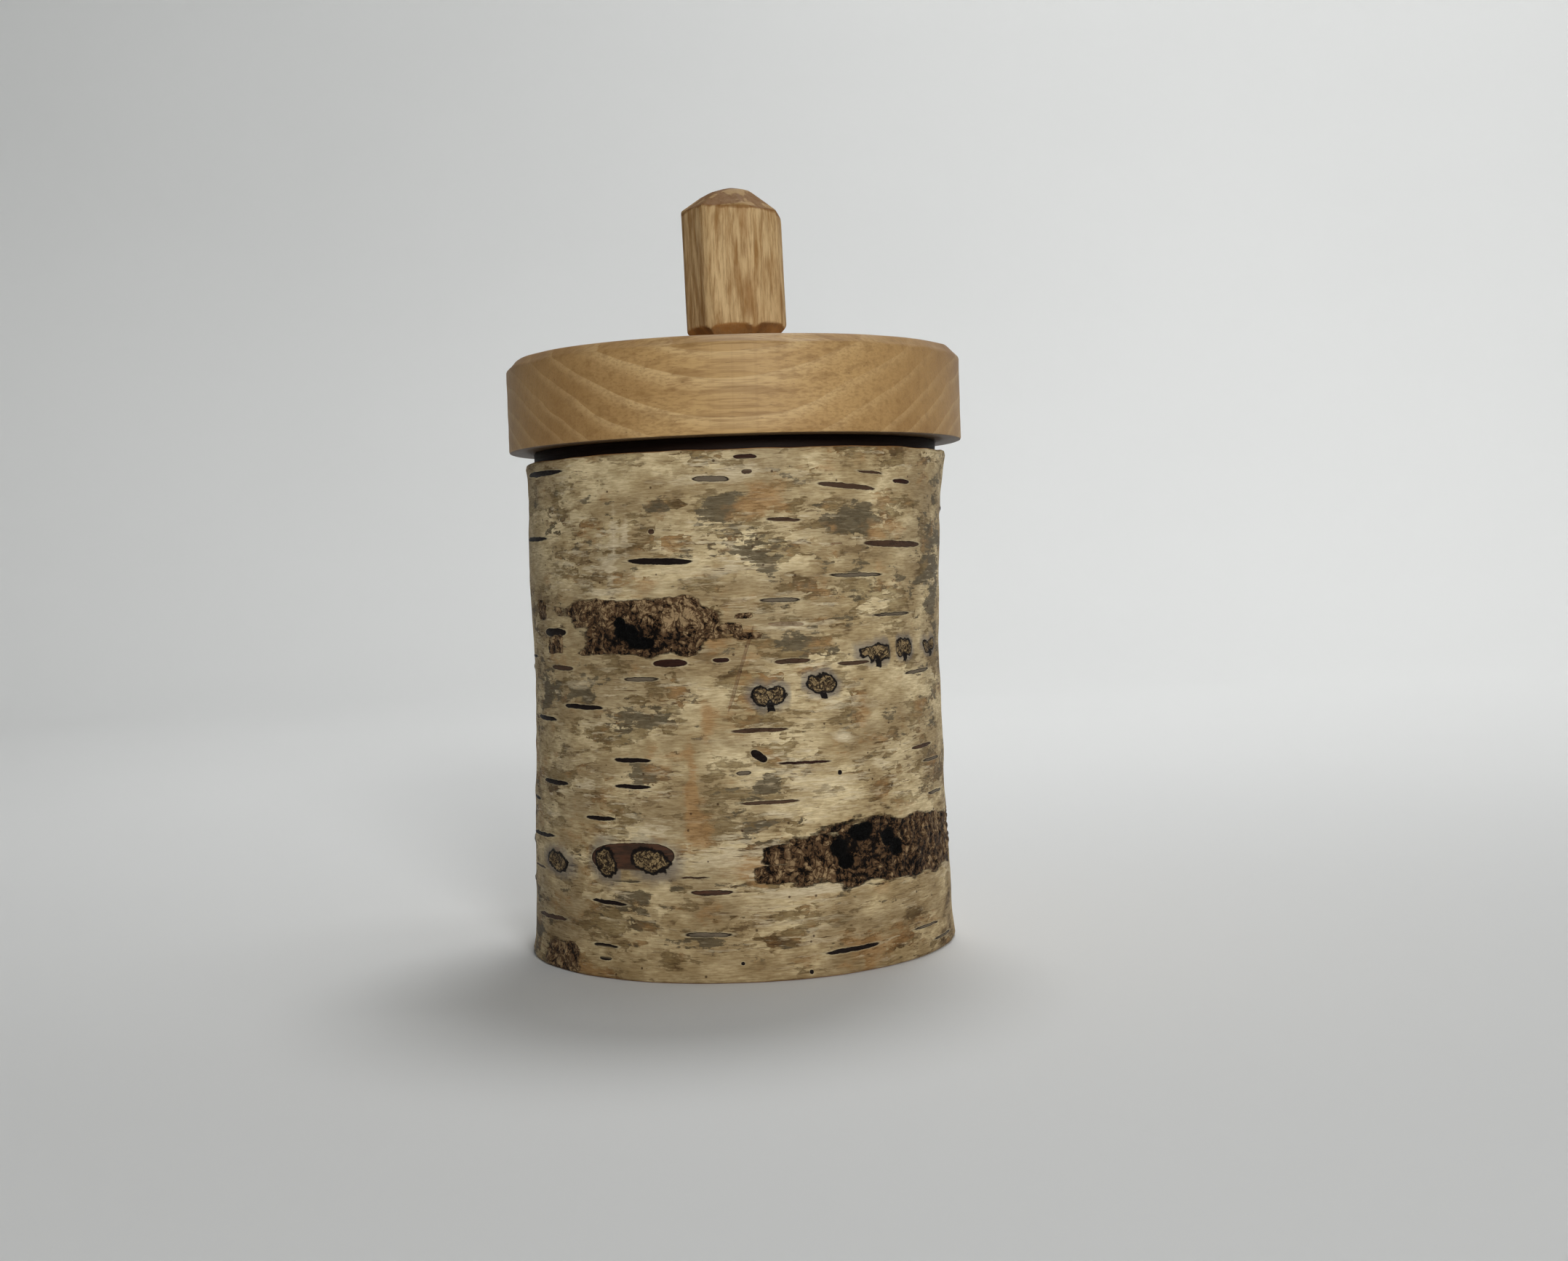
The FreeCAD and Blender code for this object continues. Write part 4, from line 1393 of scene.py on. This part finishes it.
# painted shadow: the underside is darkened strongly, as the shade in the gap under the lid
underside_painted_shade = lid_wood.ease(lid_z, LID_LOW + 0.3, LID_LOW + 0.1, 0.0, 0.85)
lid_colour = lid_wood.mix(underside_painted_shade, lid_colour, tone(46, 30, 19))
lid_wood.plug(lid_wood.shader.inputs["Base Color"], lid_colour)
cap.data.materials.append(lid_wood.material)
print(f"with chamfer and underside: {len(lid_wood.tree.nodes)} nodes")

# %% [markdown]
# ## The plug under the lid
# The cap is wider than the tube, so a smaller disc under it enters the mouth and keeps the lid in place.
# It shows only when the lid is lifted. A lead-in at its lower edge finds the mouth.

# %% Turn the plug
PLUG_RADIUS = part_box("lid_plug")[1].x / MM
PLUG_LEAD = 1.2
plug = lid_disc(
    "lid_plug_wood",
    [
        (HOLE_RADIUS, PLUG_BOTTOM),
        (PLUG_RADIUS - PLUG_LEAD - SOFT, PLUG_BOTTOM),
        (PLUG_RADIUS - PLUG_LEAD, PLUG_BOTTOM + 0.3 * SOFT),
        (PLUG_RADIUS - 0.3 * SOFT, PLUG_BOTTOM + PLUG_LEAD),
        (PLUG_RADIUS, PLUG_BOTTOM + PLUG_LEAD + SOFT),
        (PLUG_RADIUS, LID_LOW),
        (HOLE_RADIUS, LID_LOW),
    ],
    [14, 0, 2, 0, 8, 10, 4],
    200,
)
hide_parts("lid_plug")
plug_wood, _ = plank_finish(
    "lid_plug_finish",
    heart=(-20.0, 60.0),
    ring_width=4.2,
    pale=tone(202, 168, 114),
    deep=tone(178, 142, 88),
    late=tone(146, 108, 60),
    roughness=0.5,
)
plug.data.materials.append(plug_wood.material)
print(f"plug {PLUG_RADIUS * 2:.1f} mm across in a mouth of {MOUTH_RADIUS * 2:.1f} mm")

# %% [markdown]
# ## The knob
# The knob is a stick with a round tenon that goes through the cap and the plug. It is spun first as a plain
# round stick, with many rows on the grip, because the knife will need them.

# %% Spin the stick with its tenon
GRIP_LOW = 144.0
GRIP_HIGH = 180.8
GRIP_RADIUS = 12.1
TENON_RADIUS = 8.0
TENON_END = PLUG_BOTTOM + 0.15
FOOT_CUT = 3.4
FOOT_HEIGHT = 3.5
DOME_HEIGHT = 7.0

knob = lathe(
    "whittled_knob",
    [
        (0.0, TENON_END),
        (TENON_RADIUS - SOFT, TENON_END),
        (TENON_RADIUS, TENON_END + SOFT),
        (TENON_RADIUS, GRIP_LOW + 0.1),
        (GRIP_RADIUS, GRIP_LOW + FOOT_HEIGHT),
        (GRIP_RADIUS, GRIP_HIGH - DOME_HEIGHT),
        (GRIP_RADIUS * 0.45, GRIP_HIGH - 1.5),
        (0.0, GRIP_HIGH),
    ],
    [6, 0, 20, 18, 70, 30, 14],
    200,
    hollow=False,
)

# %% [markdown]
# ## Paring the knob
# A knife left seven long flats, a slanting cut round the foot and a dome of short cuts. Each cut is a plane,
# and the stick is what lies inside all of them. Cutting the mesh with planes would leave every ridge sharp.
# So a ray goes from the stick's middle through every vertex, and for each cut it is only measured how far
# the ray can go. Nothing is moved until all the cuts are known.

# %% Send a ray through every vertex
GRIP_MIDDLE = np.array([0.0, 0.0, 17.0])
FLATTEST_RAY = 0.02
OUT_OF_REACH = 99.0

knob_points = points_of(knob)
grip = knob_points[:, 2] > GRIP_LOW
stick = knob_points[grip] - (0.0, 0.0, GRIP_LOW)
outwards = stick - GRIP_MIDDLE
outwards /= np.linalg.norm(outwards, axis=1, keepdims=True)
stick_turn = np.degrees(np.arctan2(stick[:, 0], -stick[:, 1]))


def reach_to_cut(turn_degrees, rise_degrees, point_height, distance):
    """How far each ray goes before it meets a knife cut."""
    around, rise = math.radians(turn_degrees), math.radians(rise_degrees)
    facing = np.array([math.cos(rise) * math.sin(around), -math.cos(rise) * math.cos(around), math.sin(rise)])
    room = distance + facing[2] * point_height - GRIP_MIDDLE @ facing
    towards = outwards @ facing
    return np.where(towards > FLATTEST_RAY, room / np.maximum(towards, FLATTEST_RAY), OUT_OF_REACH)


print(f"{len(stick)} rays leave the middle of the grip")

# %% [markdown]
# ## Paring the knob: the cuts
# No two cuts are alike: the flats lie at slightly different depths and are a little hollow, each shoulder
# has its own slope, and the foot is scalloped between the ridges. One more cut takes some of the right
# shoulder. The cuts are kept in three groups, because the finish will shade each group differently.

# %% Measure every knife cut
FLATS = 7
FIRST_FLAT = -7.0
FLAT_DEPTH = 0.6
FLAT_UNEVENNESS = 0.2
HOLLOW_DEPTH = 0.07
SHOULDER_SLOPES = [37, 40, 43, 38, 40, 37, 36]
SHOULDER_HEIGHTS = [30.6, 29.6, 28.6, 29.5, 30.5, 31.0, 31.0]
TOP_SLOPE = 17.0
# turn, rise, height and distance of the cut on the right shoulder
WORN_SHOULDER = (80.0, 20.0, 28.0, 11.2)
SCALLOP = 0.4
FOOT_EASE = 0.25

cuts = {"side": [], "foot": [], "dome": []}
cuts["side"].append(GRIP_RADIUS / np.maximum(np.hypot(outwards[:, 0], outwards[:, 1]), FLATTEST_RAY))
foot_rise = math.degrees(math.atan2(FOOT_CUT, FOOT_HEIGHT))
pitch = 360 / FLATS
for number in range(FLATS):
    facing_turn = FIRST_FLAT + number * pitch
    flat = GRIP_RADIUS - FLAT_DEPTH + FLAT_UNEVENNESS * math.sin(number * number)
    off_middle = ((stick_turn - facing_turn + 180) % 360 - 180) / (pitch / 2)
    hollow = HOLLOW_DEPTH * np.cos(off_middle * math.pi / 2).clip(0)
    hollow *= 1 + waviness(stick, 11.0, 20 + number)
    cuts["side"].append(reach_to_cut(facing_turn, 0, 0, flat) - hollow)
    scallop = SCALLOP * np.minimum(off_middle**2, 2)
    foot_reach = (flat - FOOT_CUT) * math.cos(math.radians(foot_rise)) + scallop
    cuts["foot"].append(reach_to_cut(facing_turn, -foot_rise, 0, foot_reach + FOOT_EASE))
    slope = SHOULDER_SLOPES[number]
    shoulder_reach = flat * math.sin(math.radians(slope))
    cuts["dome"].append(reach_to_cut(facing_turn, 90 - slope, SHOULDER_HEIGHTS[number], shoulder_reach))
    top_turn = facing_turn + pitch / 2
    cuts["dome"].append(reach_to_cut(top_turn, 90 - TOP_SLOPE, GRIP_HIGH - GRIP_LOW, 0.0))
cuts["dome"].append(reach_to_cut(*WORN_SHOULDER))
print("knife cuts:", {name: len(reaches) for name, reaches in cuts.items()})

# %% [markdown]
# ## Paring the knob: the worn ridges
# Every vertex could stop exactly at its first cut, but then each ridge would be as sharp as glass. A soft
# smallest distance lets neighbouring cuts melt together within a fraction of a millimetre, as hands would
# wear them. The stick leans by a degree, and each vertex keeps which kind of cut it lies on and its flat's
# tone and painted shade.

# %% Move every vertex to its nearest cut
RIDGE_SHARPNESS = 7.0
KNIFE_MARKS = 0.03
LEAN = math.radians(-1.0)
# the round stick first, then its seven flats: each flat's own tone with painted shade, darker on the left
# flats and lighter on the right
FLAT_TONES_AND_PAINTED_SHADE = np.array([0.5, 0.55, 0.75, 0.4, 0.6, 0.35, 0.5, 0.3])

nearest = {name: np.min(reaches, axis=0) for name, reaches in cuts.items()}
every_reach = np.array([reach for reaches in cuts.values() for reach in reaches])
reach = -np.log(np.exp(-RIDGE_SHARPNESS * every_reach).sum(axis=0)) / RIDGE_SHARPNESS
reach += KNIFE_MARKS * waviness(stick, np.array([2.2, 2.2, 7.0]), 31)
stick = GRIP_MIDDLE + outwards * reach[:, None]
leaned = stick.copy()
leaned[:, 0] = stick[:, 0] * math.cos(LEAN) + stick[:, 2] * math.sin(LEAN)
leaned[:, 2] = stick[:, 2] * math.cos(LEAN) - stick[:, 0] * math.sin(LEAN)
knob_points[grip] = leaned + (0.0, 0.0, GRIP_LOW)
knob_points[:, 0] += KNOB_OFFSET
move_points(knob, knob_points)

side_number = np.argmin(cuts["side"], axis=0)
knife = np.zeros((len(knob_points), 3))
knife[grip, 0] = np.clip((nearest["side"] - nearest["foot"]) * 4 + 0.5, 0, 1)
knife[grip, 1] = np.clip((nearest["side"] - nearest["dome"]) * 0.5 + 0.6, 0, 1)
knife[grip, 2] = FLAT_TONES_AND_PAINTED_SHADE[side_number]
keep_attribute(knob, "knife", knife)
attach(knob, "lid")
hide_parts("knob")
print(f"top of the knob at {knob_points[:, 2].max():.2f} mm")

# %% [markdown]
# ## The knob's wood
# A stick shows its grain standing up: fine light and dark streaks along its length. Each flat has its own
# tone, with painted shade laid on it: the flats on the left are darker and those on the right lighter, as the
# light falls from the right. The slanting cut at the foot goes across the fibres and looks darker and more
# orange, partly from its end grain and partly as painted shade on a cut that faces down. The cuts of the dome
# show pale and brown patches, the brown partly end grain and partly painted shade on cuts that face up. The
# streaks are noise that is stretched along the stick, and the cuts are told apart by the numbers kept while
# paring.

# %% The knob's finish
knob_wood = Finish("knob_wood_finish", Roughness=0.6)
knob_wood.shader.inputs["Specular IOR Level"].default_value = 0.12
foot_part, dome_part, flat_tone_and_shade = knob_wood.split(knob_wood.attribute("knife", "Vector"))
stick_streak = knob_wood.noise(knob_wood.place(scale=(760.0, 760.0, 95.0)), detail=6.0, rough=0.62)
stick_fibre = knob_wood.noise(knob_wood.place(scale=(2100.0, 2100.0, 190.0)), detail=4.0, rough=0.6)
stick_cloud = knob_wood.noise(knob_wood.place(scale=(150.0, 150.0, 70.0), shift=(4.0, 0.0, 1.0)), detail=3.0)
knife_patch = knob_wood.noise(knob_wood.place(scale=(190.0, 190.0, 150.0), shift=(7.0, 3.0, 0.0)), detail=4.0)

stick_level = knob_wood.math("SUBTRACT", stick_streak, 0.1)
# painted shade: each flat's own tone, with the left flats darker and the right ones lighter
stick_level = knob_wood.math("MULTIPLY_ADD", flat_tone_and_shade, 0.22, stick_level)
stick_colour = knob_wood.mix(knob_wood.ease(stick_level, 0.3, 0.68), tone(158, 119, 71), tone(218, 188, 140))
cloud_share = knob_wood.ease(stick_cloud, 0.48, 0.7, 0.0, 0.5)
stick_colour = knob_wood.mix(cloud_share, stick_colour, tone(156, 114, 66))
fibre_share = knob_wood.ease(stick_fibre, 0.46, 0.68, 0.0, 0.5)
stick_colour = knob_wood.mix(fibre_share, stick_colour, tone(140, 104, 60))

dome_ragged = knob_wood.math("MULTIPLY_ADD", knife_patch, 1.6, -0.8)
dome_level = knob_wood.math("ADD", dome_part, dome_ragged)
# partly painted shade: the dome's cuts face up and are painted browner, besides their end grain
dome_grain_and_shade = knob_wood.mix(knob_wood.ease(knife_patch, 0.5, 0.56), tone(116, 76, 30), tone(166, 134, 88))
stick_colour = knob_wood.mix(knob_wood.ease(dome_level, 0.5, 0.66, 0.0, 0.85), stick_colour, dome_grain_and_shade)
# a darker brown band round the shoulder of the dome
shoulder_band = knob_wood.ease(dome_level, 0.85, 0.6, 0.0, 0.6)
shoulder_band = knob_wood.math("MULTIPLY", knob_wood.ease(dome_level, 0.3, 0.5), shoulder_band)
stick_colour = knob_wood.mix(shoulder_band, stick_colour, tone(122, 76, 28))

# partly painted shade: the foot cut faces down and is painted darker, besides the darker end grain across its
# fibres
foot_level = knob_wood.math("MULTIPLY_ADD", stick_cloud, 0.7, knob_wood.math("MULTIPLY", stick_streak, 0.3))
foot_tone = knob_wood.mix(knob_wood.ease(foot_level, 0.38, 0.6), tone(166, 116, 64), tone(112, 72, 38))
stick_colour = knob_wood.mix(knob_wood.math("MULTIPLY", foot_part, 0.85), stick_colour, foot_tone)
knob_wood.plug(knob_wood.shader.inputs["Base Color"], stick_colour)
stick_height = knob_wood.math("MULTIPLY_ADD", stick_fibre, 0.4, stick_streak)
knob_wood.plug(knob_wood.shader.inputs["Normal"], knob_wood.relief(stick_height, 0.15 * MM))
knob.data.materials.append(knob_wood.material)
print(f"knob finish: {len(knob_wood.tree.nodes)} nodes")

# %% [markdown]
# ## The wedge
# The tenon goes right through the lid, and a thin wedge driven into its end keeps it tight. A box with its
# upper end drawn together is all it takes, with the edges broken by a bevel. Its wood is a shade darker.

# %% Shape the wedge
WEDGE_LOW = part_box("tenon_wedge")[0].z / MM
WEDGE_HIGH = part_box("tenon_wedge")[1].z / MM
WEDGE_WIDTH = 15.4
WEDGE_THICK = 3.2
WEDGE_THIN = 1.0
WEDGE_BREAK = 0.15

bm = bmesh.new()
bmesh.ops.create_cube(bm, size=1.0)
for vert in bm.verts:
    thick = WEDGE_THIN if vert.co.z > 0 else WEDGE_THICK
    along_z = WEDGE_HIGH if vert.co.z > 0 else WEDGE_LOW
    vert.co = Vector((KNOB_OFFSET + vert.co.x * thick, vert.co.y * WEDGE_WIDTH, along_z)) * MM
bmesh.ops.bevel(
    bm, geom=bm.edges, offset=WEDGE_BREAK * MM, segments=2, affect="EDGES", profile=0.5, material=-1
)
bmesh.ops.recalc_face_normals(bm, faces=bm.faces)
wedge_mesh = bpy.data.meshes.new("tenon_wedge_wood")
bm.to_mesh(wedge_mesh)
bm.free()
wedge = bpy.data.objects.new("tenon_wedge_wood", wedge_mesh)
bpy.context.scene.collection.objects.link(wedge)
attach(wedge, "lid")
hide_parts("tenon_wedge")

wedge_wood = Finish("tenon_wedge_finish", Roughness=0.55)
wedge_fibre = wedge_wood.noise(wedge_wood.place(scale=(1500.0, 900.0, 60.0)), detail=4.0)
wedge_colour = wedge_wood.mix(wedge_fibre, tone(132, 96, 58), tone(92, 62, 36))
wedge_wood.plug(wedge_wood.shader.inputs["Base Color"], wedge_colour)
wedge_wood.plug(wedge_wood.shader.inputs["Normal"], wedge_wood.relief(wedge_fibre, 0.15 * MM))
wedge.data.materials.append(wedge_wood.material)
print(f"wedge {WEDGE_HIGH - WEDGE_LOW:.1f} mm long")
